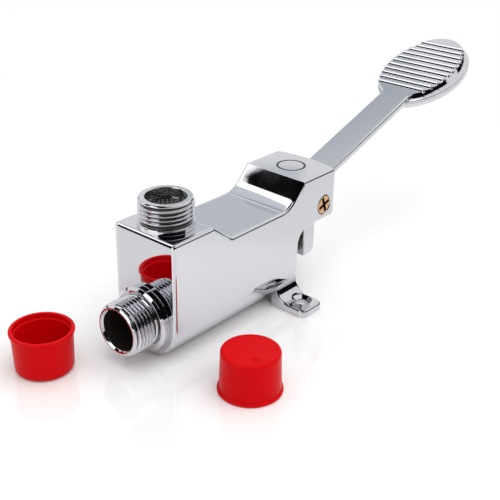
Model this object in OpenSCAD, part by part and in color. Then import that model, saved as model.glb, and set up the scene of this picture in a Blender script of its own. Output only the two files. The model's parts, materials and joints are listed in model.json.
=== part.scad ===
// Foot pedal tap valve: a cast body screwed to the floor, with a threaded port at the
// front, another on top, and a pedal lever under a hood that pushes the stem open.
// Millimetres, +Z up. The origin is on the floor, midway between the two fixing holes.
// The inlet port faces -Y and the pedal points to +Y. Pieces of the valve are placed
// from the front face of the body and from the axis of the inlet port.

/* [Body casting] */
// Width across the flat sides, and diameter of the half-round bottom
body_w = 31; // [30:0.5:36]
// Front face to the rear of the hood
body_len = 97.5; // [96:0.5:100]
// How far the rear of the hood bows out in plan
rear_bow = 2.6; // [1:0.1:4]
// Front face to the wall under the hood
rear_wall_y = 71.8; // [71:0.1:74]
// Height of the port block above the inlet axis
block_h = 34; // [33:0.5:38]
// Length of the flat top of the port block
block_len = 20.7; // [19:0.1:24]
// Length of the slope from the port block down to the waist
slope_len = 9.8; // [7:0.1:12]
// Height of the waist above the inlet axis
waist_h = 26.6; // [26:0.1:29]
// Radius of the sweep from the waist up to the hood
waist_r = 11; // [6:0.5:12]
// Height of the hood above the inlet axis
hood_h = 36.1; // [35:0.1:40]
// Front face to the upper front edge of the hood
hood_front_y = 73.7; // [73:0.1:77]
// Slope of the front of the hood, in degrees
hood_slope = 47; // [43:1:56]
// Height of the underside of the hood above the inlet axis
hood_under_h = 15; // [13:0.5:16]
// Radius between the rear wall and the underside of the hood
hood_under_r = 6.5; // [4:0.5:7]
// Radius on the upper edges of the hood and of the port block
top_edge_r = 2.2; // [1:0.1:3]
// Small radius on the other outer edges of the casting
edge_r = 0.8; // [0.4:0.1:1.2]

/* [Fixing ears] */
// Front face to the line of the two fixing holes
front_to_holes = 67.4; // [62:0.1:68]
// Distance between the two fixing holes
hole_pitch = 43.2; // [40:0.1:48]
// Diameter of a fixing hole
hole_d = 5.2; // [4:0.1:6]
// Diameter of the countersink
countersink_d = 8.4; // [7:0.1:10]
// Fixing hole to the outer end of the ear
ear_tip = 7.4; // [5:0.1:8]
// Line of the holes to the front edge of the ears
ear_front = 8; // [6:0.1:9]
// Line of the holes to the rear edge of the ears
ear_rear = 5; // [4.6:0.1:7]
// Thickness of an ear
ear_t = 3; // [2.5:0.1:4]
// Radius on the corners of an ear
ear_corner_r = 3; // [1:0.5:4]
// Radius on the upper edges of an ear
ear_edge_r = 0.8; // [0.4:0.1:1.2]
// Radius of the sweep from the top of an ear up the side of the body
ear_sweep_r = 7; // [4:0.5:8]

/* [Ports] */
// Outside diameter of the pipe thread on both ports
thread_d = 20.955; // [20.2:0.005:22]
// Length of the inlet thread in front of its collar
inlet_thread_len = 11.1; // [9:0.1:14]
// Diameter of the collar behind the inlet thread
collar_d = 25.6; // [24:0.1:28]
// Thickness of the collar
collar_t = 3.4; // [2.5:0.1:5]
// Chamfer on the front of the collar
collar_chamfer = 1; // [0.5:0.1:1.4]
// Bore of the inlet
inlet_bore_d = 15.8; // [13:0.1:16.2]
// Diameter of the inlet spigot that is screwed into the body
inlet_spigot_d = 20; // [18.4:0.1:20.6]
// Length of the inlet spigot
inlet_spigot_len = 9; // [7:0.5:10]
// Front face to the axis of the outlet
outlet_y = 11.8; // [11.4:0.1:13]
// Length of the outlet thread above its ring
outlet_thread_len = 9.3; // [8:0.1:12]
// Diameter of the plain ring at the foot of the outlet
ring_d = 21.6; // [21.2:0.1:23]
// Thickness of the plain ring
ring_t = 2; // [1.5:0.1:3]
// Diameter of the outlet spigot that is screwed into the block
outlet_spigot_d = 17.8; // [16:0.1:18.2]
// Length of the outlet spigot
outlet_spigot_len = 9; // [7:0.5:10]
// Bore of the outlet above the strainer
outlet_bore_d = 15.4; // [14.4:0.1:16]
// Bore of the outlet below the strainer
outlet_throat_d = 13.2; // [11:0.1:13.4]
// Chamfer on the mouth of both ports
port_chamfer = 1; // [0.5:0.1:1.5]
// Thickness of the flat seal under each port
seal_t = 1; // [0.8:0.1:1.5]
// Width of the ring of each flat seal
seal_w = 1.2; // [0.8:0.1:1.4]

/* [Strainer] */
// Depth of the mesh below the mouth of the outlet
mesh_depth = 4; // [3:0.1:5]
// Height of the ring that carries the mesh
mesh_ring_h = 1.8; // [1.4:0.1:2.5]
// Width of the ring that carries the mesh
mesh_ring_w = 1.4; // [1:0.1:2]
// Thickness of the mesh
mesh_t = 0.6; // [0.4:0.1:0.8]
// Distance from wire to wire
mesh_pitch = 1.3; // [1.2:0.1:2]
// Width of a wire
mesh_wire = 0.5; // [0.3:0.05:0.7]

/* [Passages] */
// Bore of the inlet chamber
inlet_chamber_d = 19.2; // [18.2:0.1:19.6]
// Front face to the shoulder that the seat ring rests on
seat_y = 40; // [38:0.5:44]
// Bore of the outlet chamber behind the seat
outlet_chamber_d = 15; // [13:0.1:16]
// Diameter of the channel from the outlet chamber to the outlet
channel_d = 10; // [8:0.1:11]
// Height of that channel above the inlet axis
channel_h = 18.5; // [18:0.1:19.5]
// Thickness of the web between the outlet chamber and the gland
web_t = 3; // [2:0.5:4]

/* [Seat and stem] */
// Thickness of the seat ring
seat_ring_t = 3; // [2:0.1:4]
// Hole in the seat ring
seat_hole_d = 10; // [9:0.1:11]
// Height of the lip that the washer closes on
seat_lip_h = 0.8; // [0.5:0.1:1.2]
// Width of that lip
seat_lip_w = 1; // [0.6:0.1:1.4]
// Diameter of the rubber washer
washer_d = 14; // [13:0.1:15]
// Thickness of the rubber washer
washer_t = 3; // [2:0.1:4]
// Thickness of the holder behind the washer
holder_t = 3; // [2:0.1:4]
// Wall of the holder round the washer
holder_wall = 0.7; // [0.5:0.1:1]
// Diameter of the stem
stem_d = 7; // [6:0.1:7.6]
// Diameter of the two thin ends of the stem
stem_end_d = 5; // [4:0.1:5.4]
// Travel that the stem has room for
stem_travel = 5; // [4:0.1:5.4]
// Width across the flats of the nut on the stem
stem_nut_af = 8; // [7.6:0.1:9]
// Thickness of the nut on the stem
stem_nut_t = 3.5; // [2.5:0.1:4]
// Diameter of the button on the end of the stem
button_d = 9.6; // [8:0.1:11]
// Height of the dome on the button
button_dome_h = 1.6; // [1:0.1:2]
// Depth of the hole that the stem has in the button
button_hole = 3.6; // [2:0.1:3.8]

/* [Gland] */
// Depth of the gland behind the rear wall
gland_depth = 14.5; // [12:0.5:15]
// Diameter of the gland
gland_d = 12; // [11:0.1:13]
// Thickness of the washer under the packing
packing_washer_t = 1; // [0.8:0.1:1.5]
// Length of the packing
packing_len = 4; // [3:0.1:5]
// Width across the flats of the gland nut
gland_nut_af = 14; // [13.6:0.1:15]
// Thickness of the head of the gland nut
gland_head_t = 3.5; // [2.5:0.1:4]

/* [Return spring] */
// Mean radius of the spring at the inlet
spring_r_front = 8.5; // [8.2:0.1:8.6]
// Mean radius of the spring at the holder
spring_r_rear = 6.3; // [6:0.1:6.6]
// Diameter of the wire
spring_wire_d = 1.2; // [0.8:0.1:1.3]
// Number of turns
spring_turns = 7; // [5:0.5:8]

/* [Pedal lever] */
// Wall under the hood to the axis of the pivot
pivot_back = 16.1; // [15.5:0.1:17]
// Height of the pivot above the inlet axis
pivot_h = 21.8; // [21:0.1:23]
// Width of the boss and of the tail
lever_w = 14.8; // [12:0.1:16]
// How much narrower the arm is, on each side
arm_step = 0.2; // [0.1:0.05:0.6]
// Radius of the boss round the pivot
boss_r = 5.5; // [5:0.1:6]
// Slope of the arm at rest, in degrees
arm_slope = 18.5; // [16:0.5:22]
// Thickness of the arm
arm_t = 3.4; // [3:0.1:5]
// Height of the top of the arm above the pivot, square to the arm
arm_top = 3.2; // [3:0.1:4.2]
// Pivot to the middle of the tread, along the arm
tread_s = 102; // [96:0.5:116]
// Width of the tread
tread_w = 39.2; // [36:0.2:46]
// Length of the tread
tread_len = 54.4; // [50:0.2:60]
// Depth of the rim below the top of the arm
rim_drop = 0.4; // [0.2:0.1:1]
// Thickness of the rim of the tread
rim_t = 5.2; // [4:0.1:6]
// Height of the upper band of the rim, above its parting line
rim_band = 2.1; // [1.4:0.1:3]
// How far the lower band of the rim lies back
rim_step = 0.3; // [0.2:0.05:0.6]
// Width of the step between the rim and the ribs
rim_w = 1.2; // [0.8:0.1:2]
// Radius between the arm and the tread
neck_r = 4; // [3:0.5:8]
// Number of ribs across the tread
rib_count = 10; // [7:1:10]
// Distance from rib to rib
rib_pitch = 3.77; // [3.4:0.01:3.9]
// Width of a rib
rib_w = 2; // [1.4:0.1:2.4]
// Height of a rib
rib_h = 1.7; // [0.8:0.1:2]
// Tread's middle to the middle of the row of ribs, towards the pivot
rib_shift = 0.4; // [0:0.1:2]
// Thickness of the tail that hangs behind the stem
tail_t = 7.4; // [6:0.1:8]
// Pivot to the face of the tail that pushes the stem
tail_front = 1.8; // [1:0.1:2.4]
// Pivot to the lower end of the tail
tail_len = 26.5; // [25:0.1:28]
// Radius on the lower rear corner of the tail
tail_r = 3.5; // [1:0.5:4]

/* [Pivot] */
// Diameter of the shank of the pivot screw
pivot_d = 5; // [4:0.1:5.4]
// Diameter of its head
pivot_head_d = 8.2; // [7.2:0.1:9]
// Height of its head
pivot_head_h = 2.4; // [1.6:0.1:3]
// Length of shank that is screwed into the far cheek
pivot_grip = 5; // [4:0.1:5.4]
// Wall of the bush in the boss
bush_wall = 0.9; // [0.6:0.1:1.2]

/* [Thread caps] */
// Height of a cap
cap_h = 16.5; // [15:0.5:19]
// Wall of a cap
cap_wall = 0.8; // [0.6:0.1:1.2]
// How much narrower the closed end is, on the radius
cap_taper = 0.7; // [0.3:0.1:0.9]
// How far the lip stands out from the wall
cap_lip_w = 0.65; // [0.5:0.05:1.2]
// Thickness of the lip
cap_lip_t = 1.3; // [0.8:0.1:2]
// Thickness of the closed end
cap_end_t = 1.2; // [0.8:0.1:2]
// Radius on the edge of the closed end
cap_end_r = 1.2; // [0.6:0.1:1.4]
// Diameter of the gate mark on the closed end
gate_d = 2.4; // [1.6:0.1:3]
// Depth of the gate mark
gate_depth = 0.5; // [0.3:0.1:0.8]
// Middle of the closed end to the gate mark
gate_r = 6.9; // [3:0.1:7.5]
// Inlet axis to the inlet cap, to the left
inlet_cap_x = 20.5; // [18:0.5:30]
// Front face to the inlet cap, to the front
inlet_cap_y = 32; // [28:0.5:40]
// Inlet axis to the outlet cap, to the right
outlet_cap_x = 44.5; // [40:0.5:60]
// Front face to the outlet cap, to the rear
outlet_cap_y = 8.2; // [0:0.2:30]
// Turn of the outlet cap, in degrees
outlet_cap_turn = 324; // [0:1:360]

/* [Fits] */
// Clearance round a shaft that turns or slides
run_gap = 0.05; // [0.03:0.01:0.09]
// Clearance round a piece that is screwed or pressed in
seat_gap = 0.05; // [0.03:0.01:0.09]
// Clearance on each side of the lever in its slot
side_gap = 0.4; // [0.3:0.1:0.8]
// Clearance between the tail and the button, and over the boss
push_gap = 0.3; // [0.3:0.1:0.5]
// Clearance of the washer over the lip of the seat
close_gap = 0.1; // [0.05:0.05:0.2]
// Spare depth past the end of a screwed-in thread
end_gap = 0.5; // [0.3:0.1:0.8]
// Spare width round a nut, for the key that turns it
key_gap = 0.6; // [0.4:0.1:1]

/* [Hidden] */

$fn = 96;
chrome = [0.80, 0.81, 0.83];
brass = [0.76, 0.60, 0.30];
screw_brass = [0.80, 0.55, 0.32];
steel = [0.55, 0.56, 0.58];
rubber = [0.10, 0.10, 0.11];
nylon = [0.90, 0.89, 0.84];
cap_red = [0.86, 0.07, 0.11];

// Overshoot of a cut past the face that it opens
cut = 1;
// Turn of an arc between two points of an outline
arc_step = 8;
// Sides of the tread's outline
tread_sides = 64;

half_w = body_w / 2;
port_h = half_w;
slope_end_y = block_len + slope_len;
bow_r = (half_w * half_w + rear_bow * rear_bow) / (2 * rear_bow);
rise_foot_y = hood_front_y - (hood_h - waist_h) / tan(hood_slope);
ear_x = hole_pitch / 2 + ear_tip;

thread_r = thread_d / 2;
inlet_tip_y = -(collar_t + inlet_thread_len);
inlet_socket_depth = inlet_spigot_len + end_gap;
outlet_top_h = block_h + ring_t + outlet_thread_len;
outlet_socket_h = block_h - outlet_spigot_len - end_gap;
boss_wall = 0.1;
pivot_y = rear_wall_y + pivot_back;
mesh_top_h = outlet_top_h - mesh_depth;
mesh_seat_h = mesh_top_h - mesh_ring_h;
mesh_ring_r = outlet_bore_d / 2 - seat_gap;
mesh_r = mesh_ring_r - mesh_ring_w / 2;

seat_lip_y = seat_y - seat_ring_t - seat_lip_h;
washer_y = seat_lip_y - close_gap;
holder_y = washer_y - washer_t - holder_t;
stem_nut_y = holder_y - stem_nut_t;
stem_front_y = stem_nut_y - cut;
stem_chamfer = 0.5;

gland_y = rear_wall_y - gland_depth;
gland_head_y = rear_wall_y - end_gap;
tail_face_y = pivot_y - tail_front;
button_tip_y = tail_face_y - push_gap;
button_y = gland_head_y + gland_head_t + stem_travel + push_gap;
packing_y = gland_y + packing_washer_t;
gland_nut_y = packing_y + packing_len;
web_y = gland_y - web_t;
link_y = web_y - outlet_chamber_d / 2;

slot_w = lever_w + 2 * side_gap;
slot_corner_r = 3;
slot_roof_h = pivot_h + max(boss_r, arm_roof()) + 2 * push_gap;
slot_front_y = pivot_y - boss_r - slot_corner_r - end_gap;
bush_r = pivot_d / 2 + run_gap + bush_wall;
arm_start = (bush_r + boss_r) / 2;
tread_top = arm_top - rim_drop;
rib_draft = 0.3;
rib_edge_r = 0.7;
neck_turn = 18;
root_s = 30;
root_lap = 0.4;
cap_mouth_r = thread_r + run_gap;

// Height of the top of the arm above the pivot where it leaves the hood
function arm_roof() = arm_top / cos(arm_slope) + (body_len - pivot_y) * tan(arm_slope);

function unit(v) = v / norm(v);
function flat(p) = [p.x, p.y];
function turn(a) = [cos(a), sin(a)];

// Arc of radius r that rounds the corner p between its neighbours a and b
function arc_corner(a, p, b, r) =
    let (u = unit(a - p), v = unit(b - p), half = acos(u * v) / 2)
    let (c = p + unit(u + v) * r / sin(half))
    let (s = p + u * r / tan(half) - c, e = p + v * r / tan(half) - c)
    let (from = atan2(s.y, s.x), sweep = (atan2(e.y, e.x) - from + 540) % 360 - 180)
    let (steps = max(2, ceil(abs(sweep) / arc_step)))
    [for (i = [0:steps]) c + r * turn(from + sweep * i / steps)];

// Outline through the points [x, y, r], each corner rounded by its radius r
function rounded(pts) =
    let (n = len(pts))
    [for (i = [0:n - 1])
        let (p = pts[i])
        each p[2] == undef || p[2] == 0 ? [flat(p)]
            : arc_corner(flat(pts[(i + n - 1) % n]), flat(p), flat(pts[(i + 1) % n]), p[2])];

// Ellipse about the middle of the tread, from one angle to another
function tread_arc(rx, ry, from, to, sides) =
    [for (i = [0:sides]) let (a = from + (to - from) * i / sides) [rx * sin(a), -ry * cos(a)]];

// Points of the bow at the rear of the hood, between its two corners
function hood_bow() =
    let (half = asin(half_w / bow_r), steps = ceil(2 * half / arc_step))
    [for (i = [1:steps - 1])
        let (a = 90 - half + 2 * half * i / steps)
        [0, body_len - bow_r] + bow_r * turn(a)];

// The frame of the valve: the inlet axis where it meets the front face
module at_front() translate([0, -front_to_holes, port_h]) children();

// The frame of the lever: the pivot, with Y along the arm
module at_arm() at_front() translate([0, pivot_y, pivot_h]) rotate([arm_slope, 0, 0]) children();

// A side view, in Y and Z, given the width w
module side_view(w) rotate([90, 0, 90]) linear_extrude(w, center = true) children();

// An end view, in X and Z, given the length len towards +Y
module end_view(len) rotate([90, 0, 180]) linear_extrude(len) children();

// A profile [radius, y] turned about the inlet axis
module turned_y(profile) rotate([-90, 0, 0]) rotate_extrude() polygon(profile);

// A round bar along Y, from one place to another
module bar_y(from, to, r, sides = 96)
    translate([0, from, 0]) rotate([-90, 0, 0]) cylinder(h = to - from, r = r, $fn = sides);

// A round bar along Z at the outlet, from one height to another
module bar_z(from, to, r, y = outlet_y) translate([0, y, from]) cylinder(h = to - from, r = r);

// A ring along Y
module ring_y(from, to, r_out, r_in) difference() {
    bar_y(from, to, r_out);
    bar_y(from - cut, to + cut, r_in);
}

// Side view of the casting, from the front face round to the hood
module body_side() polygon(rounded([
    [0, -half_w - cut],
    [rear_wall_y, -half_w - cut],
    [rear_wall_y, hood_under_h, hood_under_r],
    [body_len, hood_under_h, top_edge_r],
    [body_len, hood_h, top_edge_r],
    [hood_front_y, hood_h, top_edge_r],
    [rise_foot_y, waist_h, waist_r],
    [slope_end_y, waist_h, top_edge_r],
    [block_len, block_h, edge_r],
    [0, block_h, edge_r]
]));

// End view of the casting: flat sides over a half-round bottom
module body_end() {
    circle(r = half_w);
    polygon(rounded([
        [-half_w, 0],
        [half_w, 0],
        [half_w, hood_h, edge_r],
        [-half_w, hood_h, edge_r]
    ]));
}

// Plan of the casting, with its upright edges rounded
module body_plan() polygon(rounded([
    [-half_w, 0, edge_r],
    [half_w, 0, edge_r],
    [half_w, body_len - rear_bow, edge_r],
    each hood_bow(),
    [-half_w, body_len - rear_bow, edge_r]
]));

// Plan of the right-hand ear, from the middle of the body, about the line of the holes
module ear_plan() polygon(rounded([
    [0, ear_rear],
    [ear_x, ear_rear, ear_corner_r],
    [ear_x, -ear_front, ear_corner_r],
    [0, -ear_front]
]));

// End view of the right-hand ear, swept up into the side of the body
module ear_end() polygon(rounded([
    [0, 0],
    [ear_x, 0],
    [ear_x, ear_t, ear_edge_r],
    [half_w - edge_r, ear_t, ear_sweep_r],
    [half_w - edge_r, ear_t + ear_sweep_r + edge_r],
    [0, ear_t + ear_sweep_r + edge_r]
]));

// Fixing hole, countersunk, with room above it for the screw's head
module fixing_hole() translate([hole_pitch / 2, 0, 0]) {
    sink = (countersink_d - hole_d) / 2;
    translate([0, 0, -cut]) cylinder(h = ear_t + 2 * cut, d = hole_d);
    translate([0, 0, ear_t - sink]) cylinder(h = sink, d1 = hole_d, d2 = countersink_d);
    translate([0, 0, ear_t]) cylinder(h = ear_sweep_r + port_h, d = countersink_d);
}

module ear() {
    intersection() {
        linear_extrude(ear_t + ear_sweep_r + port_h) ear_plan();
        translate([0, -ear_front, 0]) mirror([1, 0, 0]) end_view(ear_front + ear_rear) ear_end();
    }
}

// Water ways and seats inside the casting
module passages() {
    bar_y(-cut, seal_t, inlet_spigot_d / 2 + seat_gap + seal_w);
    bar_y(-cut, inlet_socket_depth, inlet_spigot_d / 2 + seat_gap);
    bar_y(0, seat_y, inlet_chamber_d / 2);
    bar_y(0, web_y, outlet_chamber_d / 2);
    bar_y(web_y - cut, gland_y + cut, stem_d / 2 + run_gap);
    bar_y(gland_y, rear_wall_y + cut, gland_d / 2 + seat_gap);
    bar_y(gland_head_y, body_len, gland_nut_af / 2 / cos(30) + key_gap);
    bar_z(block_h - seal_t, outlet_top_h, outlet_spigot_d / 2 + seat_gap + seal_w);
    bar_z(outlet_socket_h, outlet_top_h, outlet_spigot_d / 2 + seat_gap);
    bar_z(channel_h, outlet_top_h, outlet_throat_d / 2);
    translate([0, outlet_y, channel_h]) sphere(d = channel_d);
    translate([0, 0, channel_h]) bar_y(outlet_y, link_y, channel_d / 2);
    translate([0, link_y, channel_h]) sphere(d = channel_d);
    bar_z(0, channel_h, channel_d / 2, link_y);
}

// Slot in the hood for the lever, open behind and below
module lever_slot() side_view(slot_w) polygon(rounded([
    [slot_front_y, hood_under_h - hood_under_r],
    [body_len + cut, hood_under_h - hood_under_r],
    [body_len + cut, slot_roof_h],
    [slot_front_y, slot_roof_h, slot_corner_r]
]));

// Hole for the pivot screw: sunk head on the right, blind thread on the left
module pivot_hole() translate([0, pivot_y, pivot_h]) rotate([0, 90, 0]) {
    translate([0, 0, -slot_w / 2 - pivot_grip - end_gap])
        cylinder(h = slot_w + pivot_grip + half_w, d = pivot_d + 2 * seat_gap);
    translate([0, 0, half_w - pivot_head_h]) cylinder(h = pivot_head_h + cut, d = pivot_head_d + 4 * seat_gap);
}

module valve_body() color(chrome) difference() {
    union() {
        at_front() {
            intersection() {
                side_view(body_w + 2 * cut) body_side();
                end_view(body_len) body_end();
                translate([0, 0, -half_w - cut]) linear_extrude(half_w + hood_h + 2 * cut) body_plan();
            }
            bar_z(waist_h - cut, block_h, ring_d / 2 + boss_wall);
        }
        ear();
        mirror([1, 0, 0]) ear();
    }
    at_front() {
        passages();
        lever_slot();
        pivot_hole();
    }
    fixing_hole();
    mirror([1, 0, 0]) fixing_hole();
}

// Front port: pipe thread, collar, and a spigot inside the body
module inlet_nipple() color(chrome) at_front() turned_y([
    [inlet_bore_d / 2, inlet_tip_y + port_chamfer / 2],
    [inlet_bore_d / 2 + port_chamfer / 2, inlet_tip_y],
    [thread_r - port_chamfer, inlet_tip_y],
    [thread_r, inlet_tip_y + port_chamfer],
    [thread_r, -collar_t],
    [collar_d / 2 - collar_chamfer, -collar_t],
    [collar_d / 2, -collar_t + collar_chamfer],
    [collar_d / 2, 0],
    [inlet_spigot_d / 2, 0],
    [inlet_spigot_d / 2, inlet_spigot_len],
    [inlet_bore_d / 2, inlet_spigot_len]
]);

module inlet_seal() color(rubber) at_front()
    ring_y(0, seal_t, inlet_spigot_d / 2 + seal_w, inlet_spigot_d / 2 + seat_gap);

// Top port: pipe thread on a plain ring, and a spigot inside the block
module outlet_nipple() color(chrome) at_front() translate([0, outlet_y, 0]) rotate_extrude() polygon([
    [outlet_throat_d / 2, block_h - outlet_spigot_len],
    [outlet_spigot_d / 2, block_h - outlet_spigot_len],
    [outlet_spigot_d / 2, block_h],
    [ring_d / 2, block_h],
    [ring_d / 2, block_h + ring_t - port_chamfer / 2],
    [ring_d / 2 - port_chamfer / 2, block_h + ring_t],
    [thread_r, block_h + ring_t],
    [thread_r, outlet_top_h - port_chamfer],
    [thread_r - port_chamfer, outlet_top_h],
    [outlet_bore_d / 2 + port_chamfer / 2, outlet_top_h],
    [outlet_bore_d / 2, outlet_top_h - port_chamfer / 2],
    [outlet_bore_d / 2, mesh_seat_h],
    [outlet_throat_d / 2, mesh_seat_h]
]);

module outlet_seal() color(rubber) at_front() translate([0, 0, block_h - seal_t]) difference() {
    bar_z(0, seal_t, outlet_spigot_d / 2 + seal_w);
    bar_z(-cut, seal_t + cut, outlet_spigot_d / 2 + seat_gap);
}

// Ring with a rebate that the mesh lies in
module strainer_ring() color(steel) at_front() difference() {
    bar_z(mesh_seat_h, mesh_top_h, mesh_ring_r);
    bar_z(mesh_seat_h - cut, mesh_top_h + cut, mesh_ring_r - mesh_ring_w);
    bar_z(mesh_top_h - mesh_t, mesh_top_h + cut, mesh_r + seat_gap);
}

// Woven wire disc, drawn as a flat net of square gaps
module strainer_mesh() color(steel) at_front() {
    gap = mesh_pitch - mesh_wire;
    rows = floor(mesh_r / mesh_pitch);
    reach = mesh_r - mesh_wire;
    translate([0, outlet_y, mesh_top_h - mesh_t]) linear_extrude(mesh_t) difference() {
        circle(r = mesh_r);
        for (i = [-rows:rows], j = [-rows:rows])
            if (norm([abs(i) * mesh_pitch + gap / 2, abs(j) * mesh_pitch + gap / 2]) < reach)
                translate([i, j] * mesh_pitch) square(gap, center = true);
    }
}

// Ring with a raised lip, pressed against the shoulder between the chambers
module seat_ring() color(brass) at_front() turned_y([
    [seat_hole_d / 2, seat_lip_y],
    [seat_hole_d / 2 + seat_lip_w, seat_lip_y],
    [seat_hole_d / 2 + seat_lip_w, seat_y - seat_ring_t],
    [inlet_chamber_d / 2 - seat_gap, seat_y - seat_ring_t],
    [inlet_chamber_d / 2 - seat_gap, seat_y],
    [seat_hole_d / 2, seat_y]
]);

module packing_washer() color(brass) at_front()
    ring_y(gland_y, packing_y, gland_d / 2, stem_d / 2 + run_gap);

module gland_packing() color(rubber) at_front()
    ring_y(packing_y, gland_nut_y, gland_d / 2, stem_d / 2 + run_gap);

// Screwed into the rear wall behind the packing
module gland_nut() color(brass) at_front() difference() {
    union() {
        bar_y(gland_nut_y, gland_head_y + cut, gland_d / 2);
        bar_y(gland_head_y, gland_head_y + gland_head_t, gland_nut_af / 2 / cos(30), 6);
    }
    bar_y(gland_nut_y - cut, gland_head_y + gland_head_t + cut, stem_d / 2 + run_gap);
}

// Conical coil spring between the inlet spigot and the disc holder
spring_wire_r = spring_wire_d / 2;
spring_from = inlet_spigot_len + spring_wire_r + seat_gap;
spring_to = holder_y - spring_wire_r - seat_gap;
spring_rings = 8 * spring_turns;
spring_sides = 6;
spring_path = [for (i = [0:spring_rings])
    let (t = i / spring_rings, a = 360 * spring_turns * t)
    let (r = spring_r_front + (spring_r_rear - spring_r_front) * t)
    [r * cos(a), spring_from + (spring_to - spring_from) * t, r * sin(a)]];
spring_gap = min([for (i = [0:spring_rings], j = [i + 4:1:spring_rings])
    norm(spring_path[i] - spring_path[j])]) - spring_wire_d;
echo(str("return spring, least gap to itself in mm: ", spring_gap));

module return_spring() color(steel) at_front() {
    n = spring_sides;
    last = spring_rings * n;
    skin = [for (p = spring_path)
        let (out = unit([p.x, 0, p.z]))
        for (k = [0:n - 1]) p + spring_wire_r * (out * cos(360 * k / n) + [0, sin(360 * k / n), 0])];
    sides = [for (i = [0:spring_rings - 1], k = [0:n - 1])
        let (a = i * n + k, b = i * n + (k + 1) % n)
        each [[a, b, b + n], [a, b + n, a + n]]];
    ends = [for (k = [1:n - 2]) each [[0, k + 1, k], [last, last + k, last + k + 1]]];
    polyhedron(points = skin, faces = concat(sides, ends));
}

// Slotted screw that is the hinge pin of the lever
module pivot_screw() color(screw_brass) at_front() translate([0, pivot_y, pivot_h]) rotate([0, 90, 0]) {
    tip = -slot_w / 2 - pivot_grip;
    slot_depth = pivot_head_h / 2;
    slot_len = pivot_head_d * 0.84;
    slot_across = pivot_head_d / 7;
    difference() {
        union() {
            translate([0, 0, tip]) cylinder(h = half_w - pivot_head_h - tip + cut / 2, d = pivot_d);
            translate([0, 0, half_w - pivot_head_h]) cylinder(h = pivot_head_h, d = pivot_head_d);
        }
        for (a = [45, 135])
            translate([0, 0, half_w])
                rotate(a) cube([slot_len, slot_across, 2 * slot_depth], center = true);
    }
}

// Stem from the disc holder through the seat and the gland to the button
module valve_stem() color(brass) at_front() turned_y([
    [0, stem_front_y],
    [stem_end_d / 2 - stem_chamfer, stem_front_y],
    [stem_end_d / 2, stem_front_y + stem_chamfer],
    [stem_end_d / 2, washer_y],
    [stem_d / 2, washer_y],
    [stem_d / 2, button_y],
    [stem_end_d / 2, button_y],
    [stem_end_d / 2, button_y + button_hole - seat_gap],
    [0, button_y + button_hole - seat_gap]
]);

// Cup that carries the rubber washer towards the seat
module disc_holder() color(brass) at_front() turned_y([
    [stem_end_d / 2 + seat_gap, holder_y],
    [washer_d / 2 + seat_gap + holder_wall, holder_y],
    [washer_d / 2 + seat_gap + holder_wall, washer_y - washer_t / 3],
    [washer_d / 2 + seat_gap, washer_y - washer_t / 3],
    [washer_d / 2 + seat_gap, washer_y - washer_t],
    [stem_end_d / 2 + seat_gap, washer_y - washer_t]
]);

module seat_washer() color(rubber) at_front()
    ring_y(washer_y - washer_t, washer_y, washer_d / 2, stem_end_d / 2 + seat_gap);

module stem_nut() color(brass) at_front() difference() {
    bar_y(stem_nut_y, holder_y, stem_nut_af / 2 / cos(30), 6);
    bar_y(stem_nut_y - cut, holder_y + cut, stem_end_d / 2 + seat_gap);
}

// Domed button that the tail of the lever pushes
module stem_button() color(steel) at_front() {
    dome_r = (pow(button_d / 2, 2) + pow(button_dome_h, 2)) / (2 * button_dome_h);
    difference() {
        intersection() {
            bar_y(button_y, button_tip_y, button_d / 2);
            translate([0, button_tip_y - dome_r, 0]) rotate([-90, 0, 0]) sphere(r = dome_r);
        }
        bar_y(button_y - cut, button_y + button_hole, stem_end_d / 2 + seat_gap);
    }
}

// Outline of the arm and of the raised part of the tread, with a rounded neck
module tread_plan(rx, ry) {
    arm_half = lever_w / 2 - arm_step;
    neck = asin(arm_half / rx);
    start = neck + neck_turn;
    corner_s = tread_s - ry * cos(neck);
    polygon(rounded(concat(
        [[-arm_half, arm_start], [arm_half, arm_start], [arm_half, corner_s, neck_r]],
        [for (p = tread_arc(rx, ry, start, 360 - start, tread_sides)) p + [0, tread_s]],
        [[-arm_half, corner_s, neck_r]]
    )));
}

// The tread's oval about its middle, drawn in by inset
module tread_oval(inset)
    polygon(tread_arc(tread_w / 2 - inset, tread_len / 2 - inset, 0, 360 - 360 / tread_sides, tread_sides - 1));

// Rim of the tread: two bands that meet at the parting line
module tread_rim() translate([0, tread_s, tread_top - rim_t]) {
    linear_extrude(rim_t - rim_band / 2) tread_oval(rim_step);
    translate([0, 0, rim_t - rim_band]) linear_extrude(rim_band) tread_oval(0);
}

// Side view of a raised rib of the given width, with rounded edges
module rib_side(width) polygon(rounded([
    [-rib_draft, -rim_drop / 2],
    [width + rib_draft, -rim_drop / 2],
    [width, rib_h, rib_edge_r],
    [0, rib_h, rib_edge_r]
]));

// Ribs across the tread, and the raised land beyond them, cut to the tread's outline
module tread_ribs() intersection() {
    translate([0, tread_s - rib_shift - (rib_count - 1) / 2 * rib_pitch - rib_w / 2, arm_top])
        for (i = [0:rib_count])
            translate([0, i * rib_pitch, 0]) side_view(tread_w) rib_side(i < rib_count ? rib_w : tread_len);
    translate([0, tread_s, tread_top]) linear_extrude(rim_drop + rib_h + cut) tread_oval(rim_w + rib_draft);
}

// Side view of the boss and of the tail, which is swept into the arm, about the pivot
module lever_side() {
    rear = tail_t - tail_front;
    inside = arm_top - arm_t + root_lap;
    polygon(rounded([
        [-tail_front, 0],
        [-tail_front, -tail_len, edge_r],
        [rear, -tail_len, tail_r],
        [rear, rear * tan(arm_slope) + inside / cos(arm_slope), hood_under_r],
        root_s * turn(arm_slope) + inside * turn(arm_slope + 90),
        root_s * turn(arm_slope) + (inside + root_lap) * turn(arm_slope + 90),
        [0, boss_r / 2]
    ]));
    circle(r = boss_r);
}

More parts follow.
